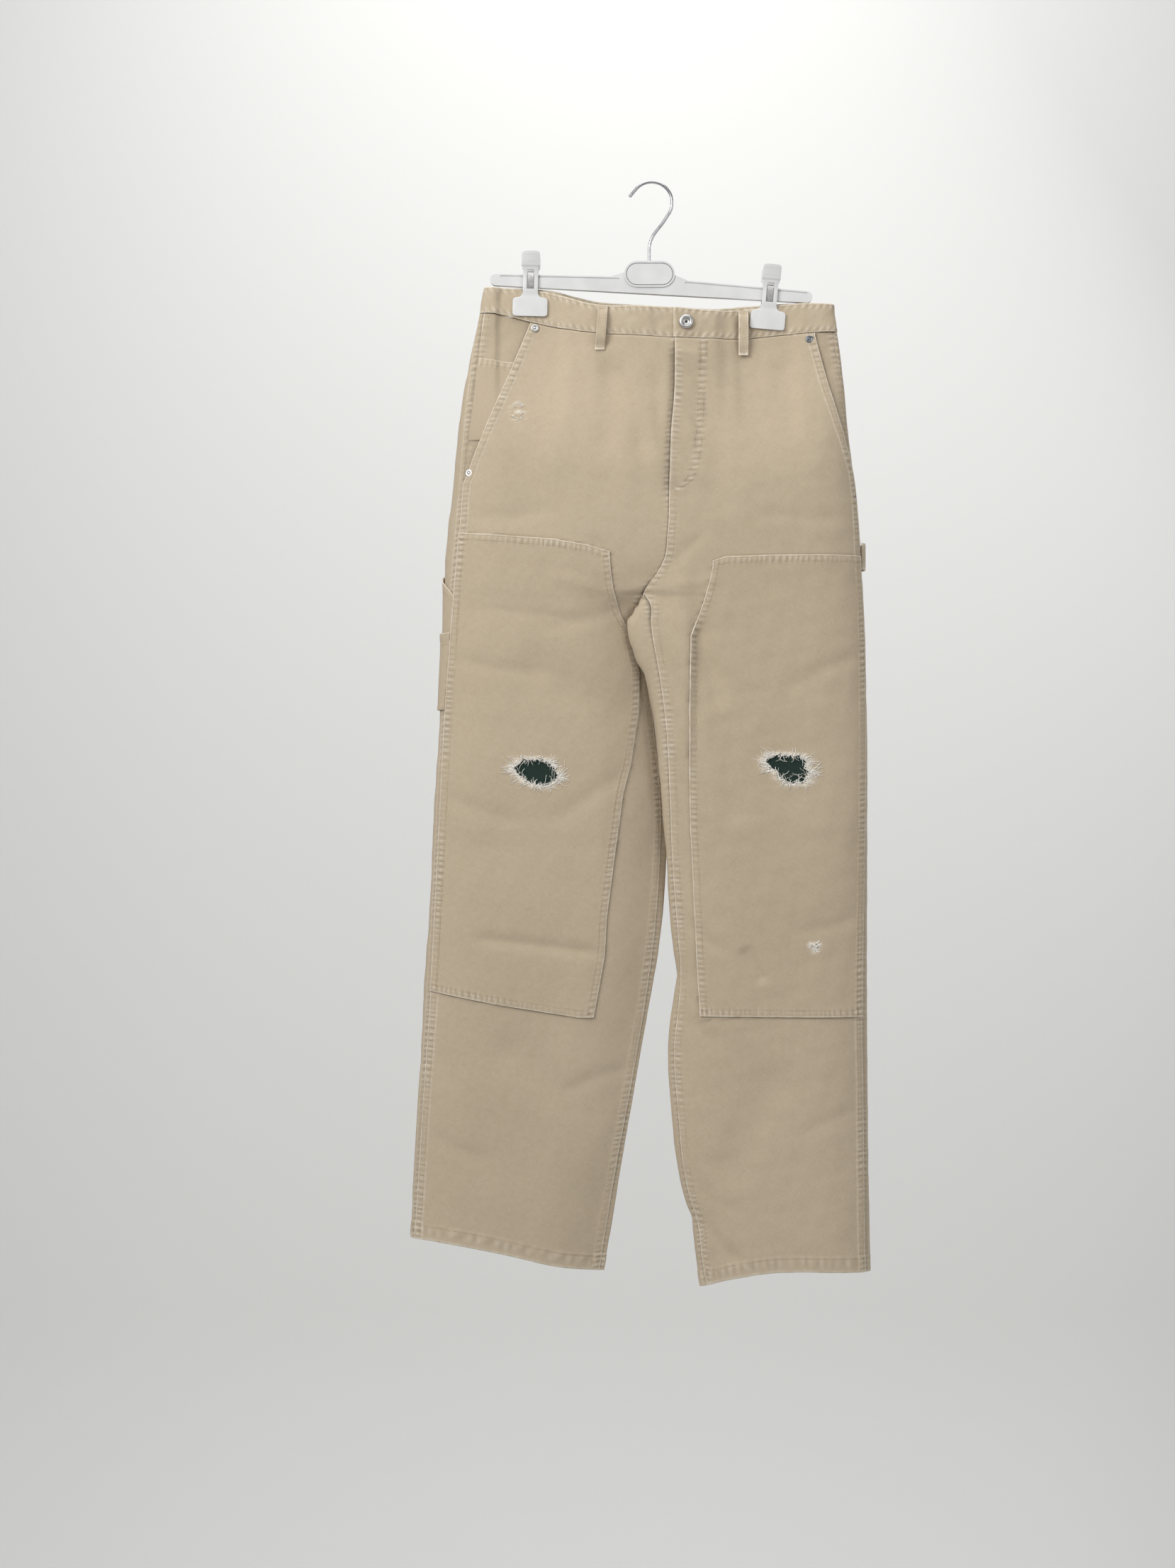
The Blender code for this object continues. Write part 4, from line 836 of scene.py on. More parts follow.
def face_outwards(mesh):
    """Drop points that carry no face and turn every face outwards."""
    loose = bmesh.new()
    loose.from_mesh(mesh)
    bmesh.ops.delete(loose, geom=[vert for vert in loose.verts if not vert.link_faces],
                     context="VERTS")
    bmesh.ops.recalc_face_normals(loose, faces=loose.faces)
    loose.to_mesh(mesh)
    loose.free()


def thread_piece(name, vertices, faces, finish):
    mesh = bpy.data.meshes.new(name)
    mesh.from_pydata((np.asarray(vertices) / 1000).tolist(), [], faces)
    mesh.shade_smooth()
    face_outwards(mesh)
    finish_piece(lay_out(name, mesh), finish)


def lock_stitches(name, lines, thread=0.33):
    """Rows of stitches on lines of points and the cloth's normals there."""
    vertices, faces = [], []
    for points, normals in lines:
        run = distances(points)
        count = int((run[-1] - 1) / PITCH)
        if count < 1:
            continue
        at = 0.5 + (np.arange(count)[:, None] + np.array(STATIONS)) * PITCH

        def read(values, where):
            return np.stack([np.interp(where, run, values[:, k]) for k in range(3)], axis=-1)

        up = read(normals, at)
        ahead = read(points, at + 0.3) - read(points, at - 0.3)
        side = unit(np.cross(up, ahead))
        middle = read(points, at) + up * np.array(STATION_LIFT)[None, :, None]
        wide = thread * np.array(STATION_WIDTH)[None, :, None]
        ring = np.stack([middle + side * wide, middle + up * wide * 0.9, middle - side * wide,
                         middle - up * wide * 0.9], axis=2)
        first = len(vertices)
        vertices.extend(ring.reshape(-1, 3))
        for stitch in range(count):
            base = first + stitch * 16
            for station in range(3):
                a = base + station * 4
                faces += [[a + k, a + (k + 1) % 4, a + (k + 1) % 4 + 4, a + k + 4]
                          for k in range(4)]
            faces += [[base + 3, base + 2, base + 1, base], [base + k for k in range(12, 16)]]
    thread_piece(name, vertices, faces, sewing_thread)


def on_cloth(half, face, x, z, above):
    """Points a little above a panel's washed surface, and the normals there."""
    x, z = (np.asarray(value, float) for value in (x, z))
    y = soft_depth(half, face, x, z)
    slope_x = (soft_depth(half, face, x + 0.5, z) - soft_depth(half, face, x - 0.5, z))
    slope_z = (soft_depth(half, face, x, z + 0.5) - soft_depth(half, face, x, z - 0.5))
    normals = unit(np.stack([-slope_x, np.ones_like(x), -slope_z], axis=-1) * SIGN[face])
    rise = ripple(half, face, x, z) + above
    return np.stack([x, y, z], axis=-1) + normals * rise[:, None], normals


def path_on_cloth(half, face, path, above, count=200):
    path = np.array(path, float)
    run = distances(path)
    at = np.linspace(0, run[-1], count)
    return on_cloth(half, face, np.interp(at, run, path[:, 0]), np.interp(at, run, path[:, 1]),
                    above)


seam_rows = {"right": [], "left": []}
for half in ("right", "left"):
    outer, normals = cloth["front", half]
    heights = outer[:, -1, 2]
    top, low = KNEE_AT_SEAM[half]
    for rows in (heights > top + 1, heights < low - 2):
        for column in (NEAR_ROW, FAR_ROW):
            seam_rows[half].append((outer[rows, -1 - column], normals[rows, -1 - column]))
    legs = panel_levels > 1.012
    for column in (NEAR_ROW, FAR_ROW):
        seam_rows[half].append((outer[legs, column], normals[legs, column]))
        if half == "left":
            fork = (panel_levels < 1) & (outer[:, 0, 2] < FLY_BOTTOM + 4)
            seam_rows[half].append((outer[fork, column], normals[fork, column]))
    for face in ("front", "back"):
        outer, normals = cloth[face, half]
        up = lengths(outer[::-1], 0)[::-1]
        hem_row = int(np.argmin(np.abs(up[:, 30] - HEM_ROW)))
        seam_rows[half].append((outer[hem_row, 1:-1], normals[hem_row, 1:-1]))
    if half == "left":
        above_fork = panel_levels < 1
        outer, normals = cloth["back", half]
        for column in (NEAR_ROW, FAR_ROW):
            seam_rows[half].append((outer[above_fork, -1 - column],
                                    normals[above_fork, -1 - column]))
        for inset in (0.0, FLY_ROWS):
            path = [(x - inset, z) for x, z in FLY_STITCH[:-1]]
            path.append((FLY_STITCH[-1][0], FLY_STITCH[-1][1] + inset))
            seam_rows[half].append(path_on_cloth("left", "front", path, FLY_THREAD))
    lock_stitches(f"seam_stitches_{half}", seam_rows[half])

# ---------------------------------------------------------------------------------------------
# Front pockets: a facing behind each slanted mouth, caught in the side seam, and on the right
# one the coin pocket, whose top edge is hemmed with two rows of stitches.

FACING_SINK = 1.6
FACING_UNDERLAP = 16.0
COIN_POCKET = ((-230, -205), (-206.7, -207.5), (-168.5, -213), (-207.5, -309), (-230, -309))


def between_lines(columns, rows, near, far, top, low):
    """A grid of (across, height) between two side lines x(z) and two end lines z(x)."""
    u, v = np.meshgrid(columns, rows)
    x, z = np.zeros_like(u), np.full_like(u, (top(0.0) + low(0.0)) / 2)
    for _ in range(12):
        x = near(z) * (1 - u) + far(z) * u
        z = top(x) * (1 - v) + low(x) * v
    return x, z


def skin(half, face, x, z, fly=True):
    return np.stack([x, soft_depth(half, face, x, z, fly=fly), z], axis=-1)


for half in ("right", "left"):
    slant = np.array(POCKET_SLANT[half], float)[::-1]
    x, z = between_lines(
        np.linspace(0, 1, 34), np.linspace(0, 1, 96),
        lambda z: np.interp(z, slant[:, 1], slant[:, 0]) - OUTWARD[half] * FACING_UNDERLAP,
        lambda z: curve(SIDE_SEAM[half], z),
        lambda x: seam_height("front", x) - 0.5, lambda x: np.full(np.shape(x), -371.0))
    points = skin(half, "front", x, z)
    from_side = lengths(points[:, ::-1], 1)[:, ::-1]
    band, crimp = felled(from_side, z, SEAM_SEED[half])
    lift = -FACING_SINK + 0.9 * (band + crimp)
    lift = lift + 0.5 * rumple(x, z, 11, 60) + 0.3 * rumple(x, z, 12, 24)
    wear = 0.1 + np.maximum(crimp, 0) + rubbed(from_side)
    # Painted shade: the facing darker all over, in its pucker valleys and most in the shadow under
    # the pocket mouth's edge.
    under_edge = np.abs(x - mouth(half, z))
    shade = 0.2 + np.maximum(-crimp, 0) * 1.5 + 0.8 * np.exp(-under_edge / 3.5)
    piece, outer, normals = sew_cloth(f"pocket_facing_cloth_{half}", points, half, lift, CLOTH,
                                      wear, shade, canvas, nodes=[f"pocket_facing_{half}"])
    lock_stitches(f"facing_stitches_{half}", [(outer[:, column], normals[:, column])
                                              for column in (-2, -4)])

coin = np.array(COIN_POCKET, float)
coin_rows = np.concatenate([[0, 0.006, 0.014], np.linspace(0.03, 1, 50)])
x, z = between_lines(np.linspace(0, 1, 30), coin_rows,
                     lambda z: np.interp(z, (-309, -213), (-207.5, -168.5)) + 6,
                     lambda z: curve(SIDE_SEAM["right"], z) + 1.5,
                     lambda x: np.interp(x, coin[:3, 0], coin[:3, 1]),
                     lambda x: np.full(np.shape(x), -308.0))
points = skin("right", "front", x, z)
down = lengths(points, 0)
band, crimp = felled(down, x, 0.7, height=0.35, pucker=0.3)
lift = -0.5 + band + crimp + 0.5 * rumple(x, z, 11, 60)
wear = np.clip(0.1 + np.exp(-down / 0.8) + np.maximum(crimp, 0) * 1.2, 0, 1)
# Its shade value, 0.2 less the puckers' rise, is painted shade, darker in the valleys.
piece, outer, normals = sew_cloth("coin_pocket_cloth", points, "right", lift, 0.9, wear,
                                  np.clip(0.2 - crimp, 0, 1), canvas, nodes=["coin_pocket"])
lock_stitches("coin_pocket_stitches", [(outer[row], normals[row]) for row in (
    int(np.argmin(np.abs(down[:, 15] - at))) for at in (1.8, 7.6))])

# ---------------------------------------------------------------------------------------------
# Double knees: a second layer of canvas from the thigh to the calf, caught in the side seam and
# twice stitched round. Each is ripped open at the knee, over a patch of dark green cotton.

KNEE_LIFT = 1.3
BACKING = 1.0
BACKING_HALF = (46.0, 34.0)
RIP = {
    "right": ((-151.7, -681.5), (-136, -680.5), (-120.8, -683), (-113.3, -690.8),
              (-109.2, -702.5), (-121.7, -712.5), (-137.5, -711.7), (-149.2, -706.7),
              (-159.2, -697.5), (-164.2, -690)),
    "left": ((135.8, -675.8), (155, -675.5), (173.3, -677.5), (181.7, -683.3), (178.3, -691.7),
             (186.7, -697.5), (180, -702.5), (181.7, -708.3), (158.3, -710), (148, -703),
             (145.8, -696.7), (135, -691.7), (130.8, -682.5)),
}
RIP_MIDDLE = {"right": (-137, -696), "left": (158, -692)}
SMALL_RIP = ((185.5, -897.5), (188.0, -898.2), (193.8, -897.0), (194.2, -899.6), (191.8, -900.4),
             (192.2, -905.0), (189.8, -905.6), (189.0, -900.8), (185.8, -900.2))

green_cotton = washed_canvas("dark green cotton", ((0.012, 0.028, 0.021), (0.018, 0.036, 0.028),
                                                   (0.006, 0.014, 0.011), (0.03, 0.05, 0.04)), 0.6)


def knee_rise(half, x, z):
    across, height = RIP_MIDDLE[half]
    off_x = np.abs(x - across) - BACKING_HALF[0] - 30
    off_z = np.abs(z - height) - BACKING_HALF[1] - 30
    return KNEE_LIFT * (1 - ease(off_x / 25)) * (1 - ease(off_z / 30))


def knee_lift(half, x, z, from_side=60.0):
    rise = ripple(half, "front", x, z) * (0.25 + 0.75 * ease(from_side / 25))
    return GAP + CLOTH + 0.2 + knee_rise(half, x, z) + rise


knee_cloth = {}
for half in ("right", "left"):
    top_line = np.array(sorted(KNEE_TOP[half]), float)
    low_line = np.array(sorted(KNEE_BOTTOM[half]), float)
    inner_points = [KNEE_TOP[half][-1], *KNEE_INNER[half]]
    side_line = np.array(sorted(inner_points, key=lambda row: row[1]), float)
    x, z = between_lines(
        edge_places(200.0, 62) / 200.0, edge_places(555.0, 232) / 555.0,
        lambda z: np.interp(z, side_line[:, 1], side_line[:, 0]),
        lambda z: curve(SIDE_SEAM[half], z),
        lambda x: np.interp(x, top_line[:, 0], top_line[:, 1]),
        lambda x: np.interp(x, low_line[:, 0], low_line[:, 1]))
    points = skin(half, "front", x, z)
    from_inner, from_top = lengths(points, 1), lengths(points, 0)
    from_side = lengths(points[:, ::-1], 1)[:, ::-1]
    from_low = lengths(points[::-1], 0)[::-1]
    seed = SEAM_SEED[half]
    edges = [felled(from_side, z, seed), felled(from_inner, z, seed + 4, 0.25, 0.4),
             felled(from_top, x, seed + 5, 0.25, 0.4), felled(from_low, x, seed + 6, 0.25, 0.4)]
    crimp = sum(edge[1] for edge in edges)
    lift = knee_lift(half, x, z, from_side) + crimp + sum(edge[0] for edge in edges)
    rip = RIP[half]
    centre_x = (x[:-1, :-1] + x[1:, 1:]) / 2 + 0.9 * rumple(x[1:, 1:], z[1:, 1:], 31, 4)
    centre_z = (z[:-1, :-1] + z[1:, 1:]) / 2 + 0.9 * rumple(x[1:, 1:], z[1:, 1:], 32, 4)
    hole = inside(rip, centre_x, centre_z)
    near_rip = rim_distance(rip, x, z, flatten=2.2)
    if half == "left":
        hole |= inside(SMALL_RIP, centre_x, centre_z)
        near_rip = np.minimum(near_rip, 2.0 * rim_distance(SMALL_RIP, x, z, flatten=1.3))
    lift = lift + 0.9 * np.exp(-near_rip / 4) * rumple(x, z, 33, 9)
    wear = 0.08 + rubbed(from_inner, from_side, from_top, from_low)
    wear = wear + np.maximum(crimp, 0) * 1.1 + 1.6 * close_to(near_rip, 0, 6)
    # Painted shade: darker in the pucker valleys and along the sunk stitch rows, fading round the
    # rip.
    shade = np.maximum(-crimp, 0) * 1.9
    for away in (from_side, from_inner, from_top, from_low):
        shade += 0.35 * sum(close_to(away, row, 0.7) for row in SEW_ROWS)
    shade = shade * (1 - np.exp(-near_rip / 6))
    piece, outer, normals = sew_cloth(f"double_knee_{half}", points, half, lift, CLOTH, wear,
                                      shade, canvas, hole=hole, nodes=[f"knee_patch_{half}"])
    knee_cloth[half] = (outer, normals)
    lines = []
    for place in (NEAR_ROW, FAR_ROW):
        for column in (place, -1 - place):
            lines.append((outer[place:-place, column], normals[place:-place, column]))
        for row in (place, -1 - place):
            lines.append((outer[row, place:-2], normals[row, place:-2]))
    lock_stitches(f"double_knee_stitches_{half}", lines)

    across, height = RIP_MIDDLE[half]
    wide, tall = BACKING_HALF
    bx, bz = np.meshgrid(np.linspace(across - wide, across + wide, 40) if half == "left" else
                         np.linspace(across + wide, across - wide, 40),
                         np.linspace(height + tall, height - tall, 30))
    points = skin(half, "front", bx, bz)
    lift = GAP + BACKING + 0.25 + ripple(half, "front", bx, bz) + 0.25 * rumple(bx, bz, 35, 22)
    piece, _, _ = sew_cloth(f"green_backing_{half}", points, half, lift, 0.9, 0.0, 0.0,
                            green_cotton, nodes=[f"knee_backing_{half}"])

bx, bz = np.meshgrid(np.linspace(180, 200, 12), np.linspace(-893, -910, 10))
points = skin("left", "front", bx, bz)
piece, _, _ = sew_cloth("green_backing_small", points, "left",
                        0.35 + ripple("left", "front", bx, bz), 0.25, 0.0, 0.0, green_cotton)

# ---------------------------------------------------------------------------------------------
# Frayed yarns: round each rip the pale weft yarns hang loose, longest at its two sides, where
# they lie out over the cloth and reach in over the green patch.

raw_cotton, _, _ = clouded("raw cotton yarn", (0.8, 0.74, 0.64), (0.95, 0.93, 0.88), 260.0, 0.85)
THREAD_POINTS = 8


def frayed_yarns(name, half, yarns):
    """Yarns as (across, height) runs with a lift over the panel and a radius each."""
    vertices, faces = [], []
    for x, z, lift, radius in yarns:
        points, normals = on_cloth(half, "front", x, z, 0.0)
        points = points + normals * lift[:, None]
        ahead = np.gradient(points, axis=0)
        side = unit(np.cross(normals, ahead))
        up = unit(np.cross(ahead, side))
        thin = radius * np.linspace(1.0, 0.55, len(x))[:, None]
        first = len(vertices)
        for turn in range(3):
            angle = 2 * math.pi * turn / 3
            vertices.extend(points + (side * math.cos(angle) + up * math.sin(angle)) * thin)
        count = len(x)
        for turn in range(3):
            a, b = first + turn * count, first + (turn + 1) % 3 * count
            faces += [[a + k, b + k, b + k + 1, a + k + 1] for k in range(count - 1)]
        faces += [[first, first + 2 * count, first + count],
                  [first + count - 1, first + 2 * count - 1, first + 3 * count - 1]]
    thread_piece(name, vertices, faces, raw_cotton)


def fray_round(half, polygon, centre, count, seed, longest):
    """Loose yarns from a rip's rim: mostly level, curling, outwards over the cloth and inwards."""
    draw = np.random.default_rng(seed)
    rim = np.array(polygon, float)
    closed = np.vstack([rim, rim[:1]])
    run = distances(closed)
    yarns = []
    for _ in range(count):
        at = draw.uniform(0, run[-1])
        x0, z0 = (np.interp(at, run, closed[:, k]) for k in (0, 1))
        level = abs(x0 - centre[0]) / np.abs(rim[:, 0] - centre[0]).max()
        outwards = draw.random() < 0.8
        away = math.copysign(1.0, x0 - centre[0]) * (1 if outwards else -1)
        long = longest * draw.uniform(0.15, 1.0)**1.6 * (0.35 + 0.65 * level) + 1.0
        steep = draw.normal(0, 0.35 + 0.9 * (1 - level))
        heading = math.atan2(math.sin(steep), away * math.cos(steep))
        curl = draw.normal(0, 0.75)
        step = long / (THREAD_POINTS - 1)
        xs, zs = [x0 - 1.2 * away + draw.normal(0, 0.8)], [z0 + draw.normal(0, 0.8)]
        for k in range(THREAD_POINTS - 1):
            heading += curl / THREAD_POINTS + draw.normal(0, 0.22)
            xs.append(xs[-1] + step * math.cos(heading))
            zs.append(zs[-1] + step * math.sin(heading))
        xs, zs = np.array(xs), np.array(zs)
        over = GAP + CLOTH + 0.25 + knee_rise(half, xs, zs)
        drop = 0.0 if outwards else 0.9 * np.linspace(0, 1, THREAD_POINTS)
        if not outwards:
            xs = x0 + (xs - x0) * 0.3
            zs = z0 + (zs - z0) * 0.3
        lift = over + draw.uniform(0.1, 1.0) * np.sin(np.linspace(0.2, 2.6, THREAD_POINTS)) - drop
        yarns.append((xs, zs, lift, draw.uniform(0.26, 0.46)))
    return yarns


def strands_across(half, rows, seed):
    """Single weft yarns that still cross the rip, a little slack."""
    draw = np.random.default_rng(seed)
    yarns = []
    for start, end in rows:
        at = np.linspace(0, 1, 14)
        xs = start[0] + (end[0] - start[0]) * at
        zs = start[1] + (end[1] - start[1]) * at + draw.normal(0, 0.5, 14)
        lift = GAP + CLOTH + 0.4 + knee_rise(half, xs, zs) + 0.5 * np.sin(at * math.pi)
        yarns.append((xs, zs, lift, draw.uniform(0.2, 0.3)))
    return yarns


frayed_yarns("frayed_yarns_right", "right",
             fray_round("right", RIP["right"], RIP_MIDDLE["right"], 460, 41, 19.0))
STILL_ACROSS = (((186, -697), (160, -700)), ((163, -701), (150, -706)), ((183, -700), (172, -691)),
                ((178, -704), (163, -697)))
frayed_yarns("frayed_yarns_left", "left",
             fray_round("left", RIP["left"], RIP_MIDDLE["left"], 460, 42, 19.0)
             + strands_across("left", STILL_ACROSS, 43))
frayed_yarns("frayed_yarns_small", "left",
             fray_round("left", SMALL_RIP, (190, -901), 90, 44, 10.0))
RUBBED_SPOT = ((-163.5, -264), (-157, -262), (-152, -266), (-155, -273), (-152, -281), (-158, -284),
               (-163, -279), (-159, -273))
spot_yarns = []
for x, z, lift, radius in fray_round("right", RUBBED_SPOT, (-158, -273), 90, 45, 4.0):
    spot_yarns.append((x, z, lift - 1.35 - knee_rise("right", x, z), radius * 0.8))
frayed_yarns("rubbed_spot_yarns", "right", spot_yarns)

# ---------------------------------------------------------------------------------------------
# Carpenter's pockets on the right leg: a tall tool pocket caught in the side seam, folded round
# the leg on to the back panel, and a shorter one on top of it.

TOOL_MOUTH = {"front": ((-244.5, -471), (-226, -498)), "back": ((-244.5, -466), (-150, -452))}
SMALL_MOUTH = {"front": ((-244.5, -532.5), (-226, -531.5)),
               "back": ((-244.5, -532.5), (-150, -532.5))}
POCKET_BOTTOM = -623.0

for name, mouths, end, lift_by, node in (
        ("tool_pocket_cloth", TOOL_MOUTH, -150.0, GAP + CLOTH, "tool_pocket"),
        ("tool_pocket_short_cloth", SMALL_MOUTH, -200.0, 2 * (GAP + CLOTH), "tool_pocket_small")):
    rows = []
    for share in np.linspace(0, 1, 84)**1.15:
        parts = []
        for face, count in (("front", 22), ("back", 90)):
            turn = 1 - np.cos(np.linspace(0, math.pi / (1 if face == "front" else 2), count))
            x = np.full(count, -240.0)
            z = np.full(count, -550.0)
            line = np.array(sorted(mouths[face]), float)
            for _ in range(10):
                fold = curve(OUTER["right"], z)
                if face == "front":
                    side = curve(SIDE_SEAM["right"], z)
                    x = side + (fold - side) * turn / 2
                else:
                    x = fold + (end - fold) * turn
                top = np.interp(x, line[:, 0], line[:, 1])
                z = top + (POCKET_BOTTOM - top) * share
            parts.append(skin("right", face, x, z))
        rows.append(along_row(np.concatenate([parts[0], parts[1][1:]]), 40))
    points = np.array(rows)
    down, up = lengths(points, 0), lengths(points[::-1], 0)[::-1]
    from_side, from_back = lengths(points, 1), lengths(points[:, ::-1], 1)[:, ::-1]
    x, z = points[:, :, 0], points[:, :, 2]
    edges = [felled(down, x - points[:, :, 1], 8.1, 0.5, 0.35), felled(up, x, 8.4, 0.15, 0.4),
             felled(from_back, z, 8.7, 0.15, 0.4)]
    crimp = sum(edge[1] for edge in edges)
    gape = 1.2 * np.exp(-down / 22) * np.sin(np.clip(from_side / 70, 0, 1) * math.pi)
    lift = lift_by + 0.3 + crimp + sum(edge[0] for edge in edges) + gape
    lift = lift + 0.4 * rumple(x, z, 51, 60)
    wear = 0.1 + rubbed(down, from_back) + np.maximum(crimp, 0)
    # The shade value, the puckers' depth, paints shade into their valleys.
    piece, outer, normals = sew_cloth(name, points, "right", lift, CLOTH, wear,
                                      -crimp, nodes=[node])
    rows = [int(np.argmin(np.abs(down[:, 20] - at))) for at in (1.8, 14.0)]
    lines = [(outer[row], normals[row]) for row in rows]
    lines += [(outer[:, -1 - column], normals[:, -1 - column]) for column in (NEAR_ROW, FAR_ROW)]
    lines.append((outer[-3], normals[-3]))
    lock_stitches(name.replace("cloth", "stitches"), lines)

# ---------------------------------------------------------------------------------------------
# The fly's underlap: a double strip of canvas behind the opening, seen only in the shadow of
# the fly's edge.

heights = np.linspace(FLY_TOP - 2, FLY_BOTTOM - 2, 70)
x = curve(CENTRE, heights)[:, None] + np.linspace(-14, 33, 20)[None, :]
z = np.repeat(heights[:, None], 20, axis=1)
points = skin("left", "front", x, z, fly=False)
# Its shade value of 0.3 paints it darker, as painted shade.
piece, _, _ = sew_cloth("fly_underlap", points, "left", -CLOTH - 1.2 + 0.3 * rumple(x, z, 61, 40),
                        1.2, 0.1, 0.3, canvas, nodes=["fly_shield"])

# ---------------------------------------------------------------------------------------------
# The waistband: a folded, interlined band in two halves that meet at the centre back, the left
# end lapped over the right. Its edges are rubbed pale and it is stitched along both.

BAND, BAND_PROUD = 2.4, 0.6                    # thickness, and how far it stands over the panels
BAND_ROW = 2.4
LAP_OVER, LAP_SHORT = 37.0, 1.7                # the two ends, from the fly's edge
BAND_SHARES = (1, 0.98, 0.955, 0.93, 0.9, 0.86, *np.linspace(0.8, 0.2, 12), 0.14, 0.1, 0.07, 0.045,
               0.02, 0)


def band_line(half, share, end):
    """A line round half the band, share 0 at its lower seam and 1 at its top edge."""
    def height(face, x):
        low = curve(BAND_SEAM, x, face_column(face)) + GAP / 2
        return low + (curve(BAND_TOP, x, face_column(face)) - low) * share

    outer = float(curve(OUTER[half], height("front", OUTWARD[half] * 205.0)))
    seam = curve(CENTRE, -170.0)
    runs = []
    for face, start, stop in (("front", end, outer), ("back", outer, seam)):
        turn = np.linspace(0, math.pi, 220)
        x = start + (stop - start) * (1 - np.cos(turn)) / 2
        z = height(face, x)
        runs.append(np.stack([x, cloth_depth(half, face, x, z, fly=False), z], axis=1))
    run = np.concatenate([runs[0], runs[1][1:]])
    steps = distances(run)
    at = np.concatenate([[0, 0.8, 1.6], np.linspace(3, steps[-1] - 2, 196), [steps[-1] - 0.3]])
    return np.stack([np.interp(at, steps, run[:, k]) for k in range(3)], axis=1)


lap = float(curve(CENTRE, -170.0))
for half, start in (("right", lap + LAP_OVER), ("left", lap - LAP_SHORT)):
    points = np.array([band_line(half, share, start) for share in BAND_SHARES])
    down, up = lengths(points, 0), lengths(points[::-1], 0)[::-1]
    along, back = lengths(points, 1), lengths(points[:, ::-1], 1)[:, ::-1]
    x, z = points[:, :, 0], points[:, :, 2]
    edge_in = np.minimum(down, up)
    clamped = np.exp(-((np.abs(x + 1.7) - 141.3) / 24)**4)
    swing = np.sin(2 * math.pi * (along + 0.5 * down) / 8.6 + 1.3 * np.sin(along / 15)
                   + np.sin(along / 37))
    crimp = 0.3 * swing * close_to(edge_in, 3.5, 3.4)
    drape = (0.4 * rumple(x, z, 71, 46) + 0.25 * rumple(x, z, 72, 20)) * (1 - clamped)
    sunk = 0.3 * close_to(edge_in, BAND_ROW, 0.7)
    lift = BAND_PROUD + crimp * (1 - 0.6 * clamped) + drape - sunk - 0.8 * np.exp(-edge_in / 0.6)
    if half == "right":
        lift = lift - (BAND + GAP + 0.5) * ease((x - (lap - 32)) / 12) * (points[:, :, 1] < 0)
    else:
        lift = lift - 0.7 * np.exp(-along / 0.8)
    wear = 0.12 + 0.9 * rubbed(edge_in) + 0.8 * rubbed(np.minimum(along, back))
    wear = wear + np.maximum(crimp, 0) * 1.5 + 0.12 * np.maximum(drape, 0)
    # Painted shade in the puckers' valleys.
    shade = np.maximum(-crimp, 0) * 1.8
    piece, outer, normals = sew_cloth(f"waistband_cloth_{half}", points, half, lift, BAND, wear,
                                      shade, nodes=[f"waistband_{half}"])
    rows = [int(np.argmin(np.abs(line[:, 60] - BAND_ROW))) for line in (down, up)]
    lines = [(outer[row], normals[row]) for row in rows]
    if half == "left":
        lines.append((outer[3:-3, 4], normals[3:-3, 4]))
    lock_stitches(f"waistband_stitches_{half}", lines)

# ---------------------------------------------------------------------------------------------
# Belt loops and the hammer loop: strips of canvas folded in three, twice stitched along, their
# ends turned under and sewn down. Their folds are rubbed pale.


def soft_strap(node, name):
    """A rounded, finely divided copy of a strap's solid, with worn folds."""
    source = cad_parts[node]
    mesh = source.data.copy()
    mesh.materials.clear()
    strap = lay_out(name, mesh)
    loose = bmesh.new()
    loose.from_mesh(mesh)
    bmesh.ops.remove_doubles(loose, verts=loose.verts, dist=0.00002)
    bmesh.ops.join_triangles(loose, faces=loose.faces, angle_face_threshold=0.6,
                             angle_shape_threshold=3.1)
    loose.to_mesh(mesh)
    loose.free()
    add_modifier(strap, "BEVEL", width=0.0005, segments=2, limit_method="ANGLE", angle_limit=0.9)
    add_modifier(strap, "SUBSURF", levels=2, render_levels=2)
    mesh = strap.data
    mesh.shade_smooth()
    places = np.array([vert.co for vert in mesh.vertices]) * 1000
    middle = (places.min(axis=0) + places.max(axis=0)) / 2
    reach = (places.max(axis=0) - places.min(axis=0)) / 2
    across = 2 if node == "hammer_loop" else 0
    edge = reach[across] - np.abs(places[:, across] - middle[across])
    ends = places[:, 2] - places[:, 2].min() if across == 0 else edge
    wear = np.clip(0.15 + np.exp(-edge / 1.2) + 0.9 * np.exp(-ends / 2.0), 0, 1)
    layer = mesh.attributes.new("wear", "FLOAT", "POINT")
    layer.data.foreach_set("value", wear.astype(np.float32))
    weave = mesh.uv_layers.new(name="weave")
    corners = np.array([loop.vertex_index for loop in mesh.loops])
    flat = places[corners][:, (1, 2) if across == 2 else (0, 2)] / 1000
    weave.data.foreach_set("uv", flat.astype(np.float32).reshape(-1))
    finish_piece(strap, canvas, [node])
    return strap, middle, reach


def laid_line(strap, across, heights, sign):
    """Points and normals on a strap's outer face along (across, height) pairs."""
    points, normals = [], []
    for x, z in zip(across, heights):
        hit, place, normal, _ = strap.ray_cast((x / 1000, sign * 0.2, z / 1000), (0, -sign, 0))
        if hit:
            points.append(np.array(place) * 1000)
            normals.append(np.array(normal))
    return np.array(points), np.array(normals)


